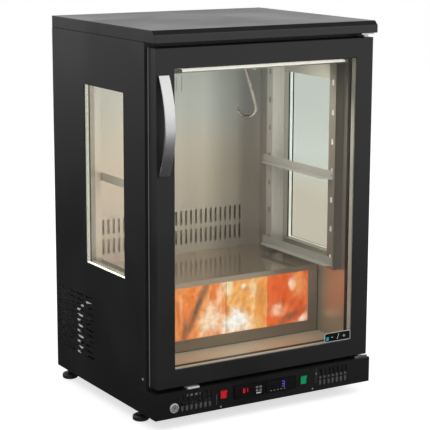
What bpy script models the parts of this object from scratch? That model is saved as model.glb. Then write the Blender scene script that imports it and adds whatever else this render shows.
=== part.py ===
"""Dry aging cabinet with a glass door, side windows and a backlit salt wall.

Metres, +Z up. The cabinet faces -Y, the handle is at -X and the door's hinges are at +X.
The origin is on the floor, under the middle of the whole cabinet with its handle.
"""

import math

import bmesh
import bpy
from mathutils import Matrix, Vector

MM = 0.001

# Clearances
GAP = 0.3 * MM
OVERRUN = 5 * MM
OVERLAP = 0.5 * MM
MERGE = 0.001 * MM
SPIN_MERGE = 0.01 * MM
FLAT_ANGLE = math.radians(0.5)

# Whole cabinet
WIDTH = 600 * MM
DEPTH = 515 * MM
HEIGHT = 915 * MM
FOOT_HEIGHT = 32 * MM
PLINTH_HEIGHT = 61.5 * MM
DOOR_GAP_BELOW = 8.5 * MM
DOOR_GAP_ABOVE = 10.6 * MM

# Worktop
WORKTOP_THICKNESS = 28 * MM
WORKTOP_CHAMFER = 10 * MM
WORKTOP_EDGE = 1 * MM

# Insulated body
SHEET = 1 * MM
WALL_THICKNESS = 30 * MM
ROOF_THICKNESS = 52 * MM
REAR_THICKNESS = 26 * MM
FLOOR_THICKNESS = 27 * MM
FRAME_SETBACK = 46 * MM
FRAME_DEPTH = 18.3 * MM
STEP_FROM_RISER = 45.5 * MM
STEP_HEIGHT = 172 * MM
STEP_INSULATION = 43 * MM
RISER_THICKNESS = 30 * MM
MACHINE_DEPTH = 253 * MM
LINER_SHEET = 1.2 * MM

# Side windows
WINDOW_SETBACK = 147 * MM
WINDOW_REAR_MARGIN = 169 * MM
WINDOW_ABOVE_STEP = 39.7 * MM
WINDOW_BELOW_CEILING = 69.5 * MM
WINDOW_LAP = 8 * MM
WINDOW_PANE = 3 * MM
WINDOW_SPACER_DEPTH = 8 * MM

# Punched vents
VENT_SLOT_WIDTH = 39 * MM
VENT_SLOT_HEIGHT = 5.5 * MM
VENT_COLUMN_PITCH = 49 * MM
VENT_ROW_PITCH = 13.5 * MM
VENT_COLUMNS = 4
VENT_ROWS = 12
VENT_REAR_MARGIN = 183 * MM
VENT_LOWEST = 98.5 * MM
REAR_VENT_COLUMNS = 3
REAR_VENT_ROWS = 9
REAR_SLOT_WIDTH = 90 * MM
REAR_SLOT_HEIGHT = 6 * MM
REAR_COLUMN_PITCH = 130 * MM
REAR_ROW_PITCH = 18 * MM

# Slotted air panel and the duct behind it
DUCT_DEPTH = 55 * MM
DUCT_PANEL_THICKNESS = 1.5 * MM
DUCT_SLOT_WIDTH = 6 * MM
DUCT_SLOT_HEIGHT = 40 * MM
DUCT_SLOT_PITCH = 14.8 * MM
DUCT_SLOTS = 29
DUCT_LOW_ROW_RISE = 42.7 * MM
DUCT_ROW_PITCH = 50 * MM
OUTLET_SLOTS = 5

# Base pan and feet
PAN_SHEET = 1.5 * MM
PAN_LIP = 12 * MM
PAN_FRONT = 8 * MM
FOOT_RADIUS = 19.5 * MM
FOOT_DISC = 15 * MM
FOOT_CHAMFER = 4 * MM
FOOT_STEM_RADIUS = 6 * MM
FOOT_NUT_RADIUS = 10 * MM
FOOT_NUT_HEIGHT = 6 * MM
FOOT_STUD_RADIUS = 4 * MM
FOOT_STUD_RISE = 9 * MM
FOOT_INSET = 23 * MM
FOOT_FRONT_SETBACK = 115 * MM

# Plinth with its vents
PLINTH_SETBACK = 2.9 * MM
PLINTH_SHEET = 1.5 * MM
PLINTH_SLOT_SHARE = 0.61
PLINTH_SLOT_HEIGHT = 41.5 * MM
PLINTH_SLOTS = 7
PLINTH_SLOT_RISE = 32.25 * MM
SLOTS_FROM_PLATE = 17.6 * MM
SLOTS_FROM_LOCK = 22.5 * MM

# Control plate
CONTROL_WIDTH = 275 * MM
CONTROL_HEIGHT = 56 * MM
CONTROL_RISE = 30.5 * MM
CONTROL_CLEARANCE = 0.5 * MM
CONTROL_EAR = 8 * MM
SHARE_BEFORE_RED = 0.109
SHARE_BEFORE_LEFT = 0.257
SHARE_BEFORE_RIGHT = 0.119
SHARE_BEFORE_GREEN = 0.194

# Controllers
CONTROLLER_HEIGHT = 30 * MM
CONTROLLER_BEZEL = 2.5 * MM
CONTROLLER_BODY_WIDTH = 71 * MM
CONTROLLER_BODY_HEIGHT = 26 * MM
CONTROLLER_BODY_DEPTH = 56 * MM
CONTROLLER_RISE = 34.5 * MM
LEFT_CONTROLLER_WIDTH = 80 * MM
RIGHT_CONTROLLER_WIDTH = 84 * MM
DISPLAY_WIDTH = 44 * MM
DISPLAY_HEIGHT = 17 * MM
DISPLAY_DEPTH = 0.8 * MM
DISPLAY_OFFSET = -10 * MM
BUTTON_WIDTH = 6 * MM
BUTTON_HEIGHT = 4.4 * MM
BUTTON_LENGTH = 5.4 * MM
BUTTON_PROUD = 1 * MM
BUTTON_POCKET = 6 * MM
BUTTON_COLUMN_PITCH = 10 * MM
BUTTON_ROW_PITCH = 8 * MM
BUTTON_GROUP_OFFSET = 27 * MM

# Rocker switches
SWITCH_WIDTH = 22 * MM
SWITCH_HEIGHT = 27 * MM
SWITCH_BEZEL = 1.5 * MM
SWITCH_BODY_INSET = 1.5 * MM
SWITCH_BODY_DEPTH = 22 * MM
SWITCH_WALL = 2.2 * MM
SWITCH_POCKET_DEPTH = 15 * MM
ROCKER_PIVOT_DEPTH = 3.5 * MM
ROCKER_HALF = 10 * MM
ROCKER_CREST = 1.2 * MM
ROCKER_BACK_RADIUS = 5 * MM
ROCKER_TILT = math.radians(8)
RED_SWITCH_RISE = 35.2 * MM
GREEN_SWITCH_RISE = 34 * MM

# Lock
LOCK_INSET = 48.6 * MM
LOCK_RISE = 24 * MM
LOCK_FLANGE_RADIUS = 11.5 * MM
LOCK_FLANGE = 3 * MM
LOCK_BARREL_RADIUS = 8 * MM
LOCK_BARREL_DEPTH = 22 * MM
LOCK_PLUG_RADIUS = 5.2 * MM
LOCK_KEYWAY_WIDTH = 1.6 * MM
LOCK_KEYWAY_HEIGHT = 6 * MM
LOCK_KEYWAY_DEPTH = 6 * MM
LOCK_CAM_LENGTH = 28 * MM
LOCK_CAM_WIDTH = 12 * MM
LOCK_CAM_THICKNESS = 2 * MM
CATCH_FROM_LOCK = 53.4 * MM
CATCH_LENGTH = 30 * MM
CATCH_HEIGHT = 4 * MM
CATCH_SETBACK = 5 * MM
CATCH_DEPTH = 22 * MM

# Door
DOOR_SIDE_GAP = 7 * MM
DOOR_SETBACK = 6.9 * MM
DOOR_THICKNESS = 34.1 * MM
DOOR_STILE = 47.5 * MM
DOOR_TOP_RAIL = 47 * MM
DOOR_BOTTOM_RAIL = 43 * MM
DOOR_LIP = 1.5 * MM
DOOR_EDGE = 1.2 * MM
DOOR_PANE = 4 * MM
DOOR_SPACER_DEPTH = 13 * MM
DOOR_SPACER_WIDTH = 6.5 * MM
DOOR_GROOVE = 8.5 * MM
GASKET_WIDTH = 10.5 * MM
GASKET_MARGIN = 13 * MM
GASKET_MARGIN_BELOW = 8 * MM
GASKET_MARGIN_ABOVE = 10 * MM
GASKET_TONGUE_WIDTH = 3 * MM
GASKET_TONGUE_HEIGHT = 4 * MM

# Handle
HANDLE_REACH = 35 * MM
HANDLE_WIDTH = 25.5 * MM
HANDLE_LENGTH = 225 * MM
HANDLE_THICKNESS = 6 * MM
HANDLE_POST_SHARE = 0.86
HANDLE_POST_RADIUS = 5 * MM
HANDLE_INSET = 5 * MM
HANDLE_BELOW_TOP = 170.9 * MM
HANDLE_EDGE = 1.5 * MM

# Hinges
HINGE_INSET = 19 * MM
HINGE_SETBACK = 24 * MM
HINGE_PLATE_THICKNESS = 4 * MM
HINGE_PLATE_WIDTH = 36 * MM
HINGE_PLATE_FRONT = 11 * MM
HINGE_PLATE_EDGE = 2 * MM
HINGE_BOSS_RADIUS = 7 * MM
HINGE_PIN_RADIUS = 4 * MM
HINGE_PIN_LENGTH = 14 * MM

# Slotted rack posts and shelf rails
POST_FACE_INSET = 25 * MM
POST_FACE_WIDTH = 27 * MM
POST_SHEET = 1.2 * MM
POST_WALL_LEG = 16 * MM
POST_FRONT_SETBACK = 88 * MM
POST_REAR_MARGIN = 151 * MM
POST_RISE = 6.5 * MM
POST_BELOW_CEILING = 15 * MM
POST_SLOT_WIDTH = 9 * MM
POST_SLOT_HEIGHT = 14 * MM
POST_SLOTS = 7
SLOT_ABOVE_STEP = 36.9 * MM
SLOT_BELOW_TOP = 58 * MM
RAIL_LEG = 20 * MM
RAIL_SHEET = 1.5 * MM
RAIL_FROM_POST = 4 * MM
RAIL_PAST_POST = 13 * MM
RAIL_LEVELS = (0, 3)
RAIL_BELOW_SLOT = 2 * MM
RAIL_TAB_WIDTH = 7 * MM
RAIL_TAB_DROP = 5 * MM
RAIL_HOLE_RADIUS = 2.5 * MM
RAIL_HOLE_SETBACK = 6 * MM

# Hanging rod and hook
ROD_RADIUS = 6 * MM
ROD_FORWARD = 7.5 * MM
ROD_BELOW_CEILING = 30 * MM
ROD_CUP_RADIUS = 12 * MM
ROD_CUP_DEPTH = 6 * MM
HOOK_WIRE_RADIUS = 3.75 * MM
HOOK_LOOP_RADIUS = 15.5 * MM
HOOK_CENTRE = 104 * MM
HOOK_TURN = math.radians(-45)
HOOK_SHANK_LENGTH = 105 * MM
HOOK_BEND_RADIUS = 23 * MM
HOOK_TIP_RISE = 12 * MM
HOOK_SHANK_LEAN = math.radians(16)

# Light bar under the ceiling
LIGHT_BELOW_CEILING = 17 * MM
LIGHT_SETBACK = 51 * MM
LIGHT_DEPTH = 12 * MM
LIGHT_THICKNESS = 8.5 * MM
LIGHT_CAP = 27 * MM
LIGHT_HOLDER = 68 * MM
LIGHT_STEP = 1 * MM

# Salt blocks and their lamp
SALT_BLOCKS = 4
SALT_SIDE_MARGIN = 29 * MM
SALT_THICKNESS = 20 * MM
SALT_WINDOW_MARGIN = 29 * MM
SALT_WINDOW_TOP_MARGIN = 13 * MM
SALT_LAP = 5 * MM
SALT_EDGE = 2 * MM
LAMP_WALL = 3 * MM
LAMP_DEPTH = 41 * MM
LAMP_BACK = 14 * MM

# Compressor
COMPRESSOR_FROM_SIDE = 135 * MM
COMPRESSOR_FROM_REAR = 115 * MM
COMPRESSOR_RADIUS = 72 * MM
COMPRESSOR_HEIGHT = 150 * MM
COMPRESSOR_SEAM = 3 * MM
COMPRESSOR_BASE = 170 * MM
COMPRESSOR_BASE_THICKNESS = 3 * MM
COMPRESSOR_MOUNT_HEIGHT = 12 * MM
COMPRESSOR_MOUNT_RADIUS = 9 * MM
TERMINAL_WIDTH = 50 * MM
TERMINAL_HEIGHT = 60 * MM
TERMINAL_DEPTH = 14 * MM

# Condenser with its fan
CONDENSER_FROM_SIDE = 60 * MM
CONDENSER_FROM_REAR = 170 * MM
CONDENSER_WIDTH = 178 * MM
CONDENSER_DEPTH = 50 * MM
CONDENSER_HEIGHT = 186 * MM
CONDENSER_FINS = 18
FIN_GROOVE = 3.2 * MM
FIN_GROOVE_DEPTH = 12 * MM
TUBE_RADIUS = 4 * MM
TUBE_ROWS = 7
TUBE_COLUMN_OFFSET = 13 * MM
BEND_REACH = 14 * MM
SHROUD_DEPTH = 34 * MM
SHROUD_SHEET = 1.5 * MM
FAN_RING_RADIUS = 80 * MM
FAN_RADIUS = 74 * MM
FAN_HUB_RADIUS = 22 * MM
FAN_HUB_DEPTH = 14 * MM
FAN_BLADES = 5
FAN_BLADE_THICKNESS = 2 * MM
FAN_BLADE_WIDTH = 18 * MM
FAN_BLADE_PITCH = math.radians(28)
FAN_SHAFT_RADIUS = 3 * MM
FAN_MOTOR_RADIUS = 26 * MM
FAN_MOTOR_DEPTH = 26 * MM
FAN_ARM_WIDTH = 12 * MM

# Evaporator with its fan, in the duct
EVAPORATOR_WIDTH = 360 * MM
EVAPORATOR_HEIGHT = 170 * MM
EVAPORATOR_BELOW_CEILING = 195 * MM
EVAPORATOR_DEPTH = 20 * MM
EVAPORATOR_FINS = 14
DUCT_FAN_SIZE = 100 * MM
DUCT_FAN_DEPTH = 24 * MM
DUCT_FAN_BELOW_CEILING = 100 * MM
DUCT_FAN_BORE = 46 * MM
DUCT_FAN_RADIUS = 43 * MM
DUCT_FAN_HUB = 16 * MM
DUCT_FAN_BLADES = 5
DUCT_FAN_ARM = 6 * MM
DUCT_FAN_BASE = 3 * MM

# Number of sides on round shapes
FINE = 32
ROUND = 20
COARSE = 12

# What follows from the sizes above
DOOR_WIDTH = WIDTH - 2 * DOOR_SIDE_GAP
FRONT = -(DEPTH - (HANDLE_REACH - DOOR_SETBACK)) / 2
HALF_WIDTH = WIDTH / 2
PLINTH_TOP = FOOT_HEIGHT + PLINTH_HEIGHT
BODY_BOTTOM = PLINTH_TOP + GAP
WORKTOP_BOTTOM = HEIGHT - WORKTOP_THICKNESS
BODY_TOP = WORKTOP_BOTTOM - GAP
CEILING = WORKTOP_BOTTOM - ROOF_THICKNESS
FLOOR_TOP = BODY_BOTTOM + FLOOR_THICKNESS + GAP + LINER_SHEET
STEP_TOP = FLOOR_TOP + STEP_HEIGHT
MACHINE_ROOF = STEP_TOP - LINER_SHEET - GAP - STEP_INSULATION
MACHINE_SETBACK = DEPTH - MACHINE_DEPTH
RISER_SETBACK = MACHINE_SETBACK - RISER_THICKNESS
STEP_SETBACK = RISER_SETBACK - STEP_FROM_RISER
INNER_HALF = HALF_WIDTH - WALL_THICKNESS
SHELL_HALF = HALF_WIDTH - SHEET - GAP
SHELL_REAR = DEPTH - SHEET - GAP
LINER_FRONT = FRAME_SETBACK + FRAME_DEPTH + GAP
LINER_REAR = DEPTH - REAR_THICKNESS
WINDOW_WIDTH = DEPTH - WINDOW_SETBACK - WINDOW_REAR_MARGIN
WINDOW_SILL = STEP_TOP + WINDOW_ABOVE_STEP
WINDOW_HEIGHT = CEILING - WINDOW_BELOW_CEILING - WINDOW_SILL
VENT_SETBACK = DEPTH - VENT_REAR_MARGIN
DUCT_SETBACK = DEPTH - DUCT_DEPTH
DUCT_LOW_ROW = STEP_TOP + DUCT_LOW_ROW_RISE
DUCT_FAN_CENTRE_HEIGHT = CEILING - DUCT_FAN_BELOW_CEILING
EVAPORATOR_LOWEST = CEILING - EVAPORATOR_BELOW_CEILING - EVAPORATOR_HEIGHT
FOOT_REAR_SETBACK = DEPTH - FOOT_INSET
FOOT_X = HALF_WIDTH - FOOT_INSET
PLINTH_INNER = PLINTH_SETBACK + PLINTH_SHEET
DOOR_BOTTOM = PLINTH_TOP + DOOR_GAP_BELOW
DOOR_TOP = WORKTOP_BOTTOM - DOOR_GAP_ABOVE
DOOR_HALF = DOOR_WIDTH / 2
GLASS_HALF = DOOR_HALF - DOOR_STILE
GLASS_BOTTOM = DOOR_BOTTOM + DOOR_BOTTOM_RAIL
GLASS_TOP = DOOR_TOP - DOOR_TOP_RAIL
DOOR_REAR = DOOR_SETBACK + DOOR_THICKNESS
HANDLE_CENTRE_HEIGHT = DOOR_TOP - HANDLE_BELOW_TOP
HINGE_X = HALF_WIDTH - HINGE_INSET
LOCK_CENTRE = LOCK_INSET - HALF_WIDTH
CATCH_CENTRE = LOCK_CENTRE + CATCH_FROM_LOCK
SLOTS_START = CONTROL_WIDTH / 2 + SLOTS_FROM_PLATE
SLOTS_END = -LOCK_CENTRE - SLOTS_FROM_LOCK
PLINTH_SLOT_CENTRE = (SLOTS_START + SLOTS_END) / 2
PLINTH_SLOT_PITCH = (SLOTS_END - SLOTS_START) / (PLINTH_SLOTS - 1)
PLINTH_SLOT_WIDTH = PLINTH_SLOT_PITCH * PLINTH_SLOT_SHARE
FREE_WIDTH = CONTROL_WIDTH - 2 * SWITCH_WIDTH - LEFT_CONTROLLER_WIDTH - RIGHT_CONTROLLER_WIDTH
RED_SWITCH_CENTRE = SHARE_BEFORE_RED * FREE_WIDTH + SWITCH_WIDTH / 2 - CONTROL_WIDTH / 2
LEFT_CONTROLLER_EDGE = RED_SWITCH_CENTRE + SWITCH_WIDTH / 2 + SHARE_BEFORE_LEFT * FREE_WIDTH
LEFT_CONTROLLER_CENTRE = LEFT_CONTROLLER_EDGE + LEFT_CONTROLLER_WIDTH / 2
RIGHT_CONTROLLER_EDGE = LEFT_CONTROLLER_EDGE + LEFT_CONTROLLER_WIDTH + SHARE_BEFORE_RIGHT * FREE_WIDTH
RIGHT_CONTROLLER_CENTRE = RIGHT_CONTROLLER_EDGE + RIGHT_CONTROLLER_WIDTH / 2
GREEN_SWITCH_EDGE = RIGHT_CONTROLLER_EDGE + RIGHT_CONTROLLER_WIDTH + SHARE_BEFORE_GREEN * FREE_WIDTH
GREEN_SWITCH_CENTRE = GREEN_SWITCH_EDGE + SWITCH_WIDTH / 2
POST_REAR_SETBACK = DEPTH - POST_REAR_MARGIN
POST_TOP = CEILING - POST_BELOW_CEILING
POST_LOWEST_SLOT = STEP_TOP + SLOT_ABOVE_STEP
POST_SLOT_PITCH = (POST_TOP - SLOT_BELOW_TOP - POST_LOWEST_SLOT) / (POST_SLOTS - 1)
RAIL_SETBACK = POST_FRONT_SETBACK + RAIL_FROM_POST
RAIL_LENGTH = POST_REAR_SETBACK + POST_FACE_WIDTH + RAIL_PAST_POST - RAIL_SETBACK
ROD_SETBACK = DEPTH / 2 - ROD_FORWARD
ROD_HEIGHT = CEILING - ROD_BELOW_CEILING
LIGHT_HEIGHT = CEILING - LIGHT_BELOW_CEILING
SALT_PITCH = 2 * (INNER_HALF - SALT_SIDE_MARGIN) / SALT_BLOCKS
COMPRESSOR_CENTRE = HALF_WIDTH - COMPRESSOR_FROM_SIDE
COMPRESSOR_SETBACK = DEPTH - COMPRESSOR_FROM_REAR
CONDENSER_LEFT = CONDENSER_FROM_SIDE - HALF_WIDTH
CONDENSER_RIGHT = CONDENSER_LEFT + CONDENSER_WIDTH
CONDENSER_SETBACK = DEPTH - CONDENSER_FROM_REAR

FINISHES = {
    "black_paint": ((0.018, 0.018, 0.019), 0.42, 0.0),
    "black_plastic": ((0.012, 0.012, 0.012), 0.5, 0.0),
    "stainless": ((0.55, 0.54, 0.50), 0.28, 1.0),
    "galvanised": ((0.42, 0.43, 0.43), 0.4, 1.0),
    "foam": ((0.62, 0.60, 0.52), 0.7, 0.0),
    "glass": ((0.75, 0.8, 0.77), 0.05, 0.0),
    "spacer": ((0.62, 0.62, 0.52), 0.35, 0.0),
    "rubber": ((0.02, 0.02, 0.02), 0.75, 0.0),
    "chrome": ((0.7, 0.7, 0.7), 0.12, 1.0),
    "brushed_steel": ((0.6, 0.6, 0.6), 0.3, 1.0),
    "copper": ((0.7, 0.35, 0.2), 0.3, 1.0),
    "aluminium": ((0.7, 0.7, 0.7), 0.35, 1.0),
    "brown_steel": ((0.25, 0.17, 0.12), 0.35, 1.0),
    "salt": ((0.9, 0.35, 0.1), 0.5, 0.0),
    "lamp_white": ((0.85, 0.85, 0.8), 0.5, 0.0),
    "red": ((0.55, 0.01, 0.01), 0.3, 0.0),
    "green": ((0.0, 0.3, 0.08), 0.3, 0.0),
    "white": ((0.8, 0.8, 0.8), 0.4, 0.0),
}

TURN_TO_PLANE = {
    "XY": (0, 0, 0),
    "XZ": (math.pi / 2, 0, 0),
    "YZ": (math.pi / 2, 0, math.pi / 2),
}
NORMAL_OF_PLANE = {"XY": "z", "XZ": "y", "YZ": "x"}

for old in list(bpy.data.objects):
    bpy.data.objects.remove(old, do_unlink=True)
parts = bpy.data.collections.new("dry_aging_cabinet")
cutters = bpy.data.collections.new("cutters")
for collection in (parts, cutters):
    bpy.context.scene.collection.children.link(collection)


def back(setback):
    """The world y of a point this far behind the worktop's front edge."""
    return FRONT + setback


def add(name, mesh, finish, location=(0, 0, 0), rotation=(0, 0, 0)):
    """Puts a mesh in the parts collection under a name, with a material of its own."""
    piece = bpy.data.objects.new(name, mesh)
    piece.location = location
    piece.rotation_euler = rotation
    parts.objects.link(piece)
    colour, roughness, metallic = FINISHES[finish]
    material = bpy.data.materials.new(f"{name}_{finish}")
    material.use_nodes = True
    shader = material.node_tree.nodes["Principled BSDF"]
    shader.inputs["Base Color"].default_value = (*colour, 1)
    shader.inputs["Roughness"].default_value = roughness
    shader.inputs["Metallic"].default_value = metallic
    mesh.materials.append(material)
    return piece


def block(name, low, high, finish):
    """A rectangular piece between two corners, its origin in its middle."""
    size = [b - a for a, b in zip(low, high)]
    shape = bmesh.new()
    bmesh.ops.create_cube(shape, size=1)
    bmesh.ops.scale(shape, vec=size, verts=shape.verts)
    mesh = bpy.data.meshes.new(name)
    shape.to_mesh(mesh)
    shape.free()
    return add(name, mesh, finish, [(a + b) / 2 for a, b in zip(low, high)])


def welded(carrier):
    """The mesh of a curve object, closed at its caps; the curve is removed."""
    graph = bpy.context.evaluated_depsgraph_get()
    mesh = bpy.data.meshes.new_from_object(carrier.evaluated_get(graph))
    shape = bmesh.new()
    shape.from_mesh(mesh)
    bmesh.ops.remove_doubles(shape, verts=shape.verts, dist=MERGE)
    bmesh.ops.recalc_face_normals(shape, faces=shape.faces)
    bmesh.ops.dissolve_degenerate(shape, dist=MERGE, edges=shape.edges)
    bmesh.ops.dissolve_limit(shape, angle_limit=FLAT_ANGLE, verts=shape.verts, edges=shape.edges)
    shape.to_mesh(mesh)
    shape.free()
    mesh.materials.clear()
    bpy.data.objects.remove(carrier, do_unlink=True)
    return mesh


def flat(name, plane, outline, low, high, finish, holes=()):
    """A flat outline with holes, between two heights on its plane's normal."""
    curve = bpy.data.curves.new(name, "CURVE")
    curve.dimensions = "2D"
    curve.fill_mode = "BOTH"
    curve.extrude = (high - low) / 2
    for points in (outline, *holes):
        spline = curve.splines.new("POLY")
        spline.points.add(len(points) - 1)
        for point, (u, v) in zip(spline.points, points):
            point.co = (u, v, 0, 1)
        spline.use_cyclic_u = True
    carrier = bpy.data.objects.new(name, curve)
    parts.objects.link(carrier)
    location = Vector()
    setattr(location, NORMAL_OF_PLANE[plane], (low + high) / 2)
    return add(name, welded(carrier), finish, location, TURN_TO_PLANE[plane])


def turned(name, profile, finish, location, rotation=(0, 0, 0), sides=ROUND):
    """A turned piece: (radius, height) points from top to bottom, spun about local Z."""
    mesh = bpy.data.meshes.new(name)
    points = [(radius, 0, height) for radius, height in profile]
    mesh.from_pydata(points, [(i, i + 1) for i in range(len(points) - 1)], [])
    piece = add(name, mesh, finish, location, rotation)
    spin = piece.modifiers.new("spin", "SCREW")
    spin.axis = "Z"
    spin.steps = sides
    spin.render_steps = sides
    spin.use_merge_vertices = True
    spin.merge_threshold = SPIN_MERGE
    spin.use_smooth_shade = False
    return piece


def rod(name, radius, start, end, finish, sides=ROUND):
    """A round bar between two points."""
    start = Vector(start)
    end = Vector(end)
    length = (end - start).length
    turn = (end - start).to_track_quat("Z", "Y").to_euler()
    profile = [(0, length), (radius, length), (radius, 0), (0, 0)]
    return turned(name, profile, finish, start, turn, sides)


def wire(name, points, radius, finish, resolution=2):
    """A bent round wire along a list of points, with closed ends."""
    curve = bpy.data.curves.new(name, "CURVE")
    curve.dimensions = "3D"
    curve.bevel_depth = radius
    curve.bevel_resolution = resolution
    curve.use_fill_caps = True
    spline = curve.splines.new("POLY")
    spline.points.add(len(points) - 1)
    for point, place in zip(spline.points, points):
        point.co = (*place, 1)
    carrier = bpy.data.objects.new(name, curve)
    parts.objects.link(carrier)
    return add(name, welded(carrier), finish)


def as_tool(tool):
    """Moves a shape to the cutters, where it is only an outline for a Boolean."""
    if tool.name in parts.objects:
        parts.objects.unlink(tool)
        cutters.objects.link(tool)
    tool.hide_render = True
    tool.display_type = "WIRE"
    return tool


def combine(piece, tools, operation):
    for tool in tools:
        change = piece.modifiers.new(f"{operation.lower()}_{tool.name}", "BOOLEAN")
        change.operation = operation
        change.solver = "EXACT"
        change.object = as_tool(tool)
    return piece


def cut(piece, *tools):
    return combine(piece, tools, "DIFFERENCE")


def fuse(piece, *tools):
    return combine(piece, tools, "UNION")


def punch(piece, plane, holes, low, high):
    """Cuts a row of outlines through a piece, between two heights on their plane's normal."""
    return cut(piece, flat(f"{piece.name}_punch", plane, holes[0], low, high, "black_paint", holes[1:]))


def bevel(piece, width, segments=1, angle=math.radians(40)):
    edge = piece.modifiers.new("edge", "BEVEL")
    edge.width = width
    edge.segments = segments
    edge.limit_method = "ANGLE"
    edge.angle_limit = angle
    return piece


def set_origin(piece, point):
    """Moves a piece's origin to a world point without moving the piece."""
    turn = piece.rotation_euler.to_matrix()
    shift = turn.inverted() @ (Vector(point) - piece.location)
    piece.data.transform(Matrix.Translation(-shift))
    piece.location = point
    return piece


def axis_empty(name, point, pieces):
    """An empty on a joint's axis, with the pieces that turn about it as its children."""
    empty = bpy.data.objects.new(name, None)
    empty.location = point
    parts.objects.link(empty)
    for piece in pieces:
        piece.parent = empty
        piece.matrix_parent_inverse = Matrix.Translation(-Vector(point))
    return empty


def rectangle(u0, v0, u1, v1):
    return [(u0, v0), (u1, v0), (u1, v1), (u0, v1)]


def centred(u, v, width, height):
    return rectangle(u - width / 2, v - height / 2, u + width / 2, v + height / 2)


def slot(u, v, width, height, steps):
    """A slot with round ends on its longer way; steps is the facets at each end."""
    radius = min(width, height) / 2
    reach = abs(width - height) / 2
    lies = width > height
    points = []
    for end in (0, 1):
        for i in range(steps + 1):
            angle = math.pi * (end + i / steps)
            across = radius * math.cos(angle)
            along = radius * math.sin(angle) + (reach if end == 0 else -reach)
            points.append((u - along, v + across) if lies else (u + across, v + along))
    return points


def circle(u, v, radius, sides):
    step = 2 * math.pi / sides
    return [(u + radius * math.cos(step * i), v + radius * math.sin(step * i)) for i in range(sides)]


def spread(count, pitch, middle=0):
    """Places at an even pitch on both sides of a middle."""
    return [middle + pitch * (i - (count - 1) / 2) for i in range(count)]


def build_worktop():
    section = [
        (back(0), WORKTOP_BOTTOM),
        (back(DEPTH), WORKTOP_BOTTOM),
        (back(DEPTH), HEIGHT),
        (back(WORKTOP_CHAMFER), HEIGHT),
        (back(0), HEIGHT - WORKTOP_CHAMFER),
    ]
    bevel(flat("worktop", "YZ", section, -HALF_WIDTH, HALF_WIDTH, "black_paint"), WORKTOP_EDGE)


def window_outline(lap=0):
    return rectangle(
        back(WINDOW_SETBACK - lap),
        WINDOW_SILL - lap,
        back(WINDOW_SETBACK + WINDOW_WIDTH + lap),
        WINDOW_SILL + WINDOW_HEIGHT + lap,
    )


def between(side, inner, outer):
    """The lower and upper x of a layer on one side of the cabinet."""
    return sorted((side * inner, side * outer))


def build_side_panels():
    outline = rectangle(back(FRAME_SETBACK), FOOT_HEIGHT, back(DEPTH), BODY_TOP)
    holes = [window_outline()]
    for column in range(VENT_COLUMNS):
        for row in range(VENT_ROWS):
            centre = back(VENT_SETBACK + column * VENT_COLUMN_PITCH)
            height = VENT_LOWEST + row * VENT_ROW_PITCH
            holes.append(slot(centre, height, VENT_SLOT_WIDTH, VENT_SLOT_HEIGHT, 3))
    for side, name in ((-1, "side_panel_left"), (1, "side_panel_right")):
        low, high = between(side, HALF_WIDTH - SHEET, HALF_WIDTH)
        flat(name, "YZ", outline, low, high, "black_paint", holes)


def build_rear():
    """Rear sheet, slotted over the machine space."""
    bottom = FOOT_HEIGHT + PAN_SHEET + GAP
    slots = [
        slot(x, z, REAR_SLOT_WIDTH, REAR_SLOT_HEIGHT, 2)
        for x in spread(REAR_VENT_COLUMNS, REAR_COLUMN_PITCH)
        for z in spread(REAR_VENT_ROWS, REAR_ROW_PITCH, (bottom + MACHINE_ROOF) / 2)
    ]
    outline = rectangle(-SHELL_HALF, bottom, SHELL_HALF, BODY_TOP)
    flat("rear_panel", "XZ", outline, back(DEPTH - SHEET), back(DEPTH), "galvanised", slots)


def build_base_pan():
    rear = DEPTH - GAP
    half = HALF_WIDTH - PLINTH_SHEET - GAP
    lip = FOOT_HEIGHT + PAN_LIP
    floor = FOOT_HEIGHT + PAN_SHEET
    section = [
        (back(PAN_FRONT), FOOT_HEIGHT),
        (back(rear), FOOT_HEIGHT),
        (back(rear), floor),
        (back(PAN_FRONT + PAN_SHEET), floor),
        (back(PAN_FRONT + PAN_SHEET), lip),
        (back(PAN_FRONT), lip),
    ]
    pan = flat("base_pan", "YZ", section, -half, half, "galvanised")
    for x, setback, corner in foot_places():
        low = (x, back(setback), FOOT_HEIGHT - OVERRUN)
        high = (x, back(setback), floor + OVERRUN)
        cut(pan, rod(f"stud_hole_{corner}", FOOT_STUD_RADIUS + GAP, low, high, "galvanised", COARSE))


def foot_places():
    return [
        (side * FOOT_X, setback, f"{end}_{hand}")
        for side, hand in ((-1, "left"), (1, "right"))
        for setback, end in ((FOOT_FRONT_SETBACK, "front"), (FOOT_REAR_SETBACK, "rear"))
    ]


def build_feet():
    shoulder = FOOT_HEIGHT - GAP
    profile = [
        (0, shoulder + FOOT_STUD_RISE),
        (FOOT_STUD_RADIUS, shoulder + FOOT_STUD_RISE),
        (FOOT_STUD_RADIUS, shoulder),
        (FOOT_NUT_RADIUS, shoulder),
        (FOOT_NUT_RADIUS, shoulder - FOOT_NUT_HEIGHT),
        (FOOT_STEM_RADIUS, shoulder - FOOT_NUT_HEIGHT),
        (FOOT_STEM_RADIUS, FOOT_DISC),
        (FOOT_RADIUS - FOOT_CHAMFER, FOOT_DISC),
        (FOOT_RADIUS, FOOT_DISC - FOOT_CHAMFER),
        (FOOT_RADIUS, FOOT_CHAMFER),
        (FOOT_RADIUS - FOOT_CHAMFER, 0),
        (0, 0),
    ]
    for x, setback, corner in foot_places():
        turned(f"foot_{corner}", profile, "black_plastic", (x, back(setback), 0), sides=COARSE)


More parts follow.
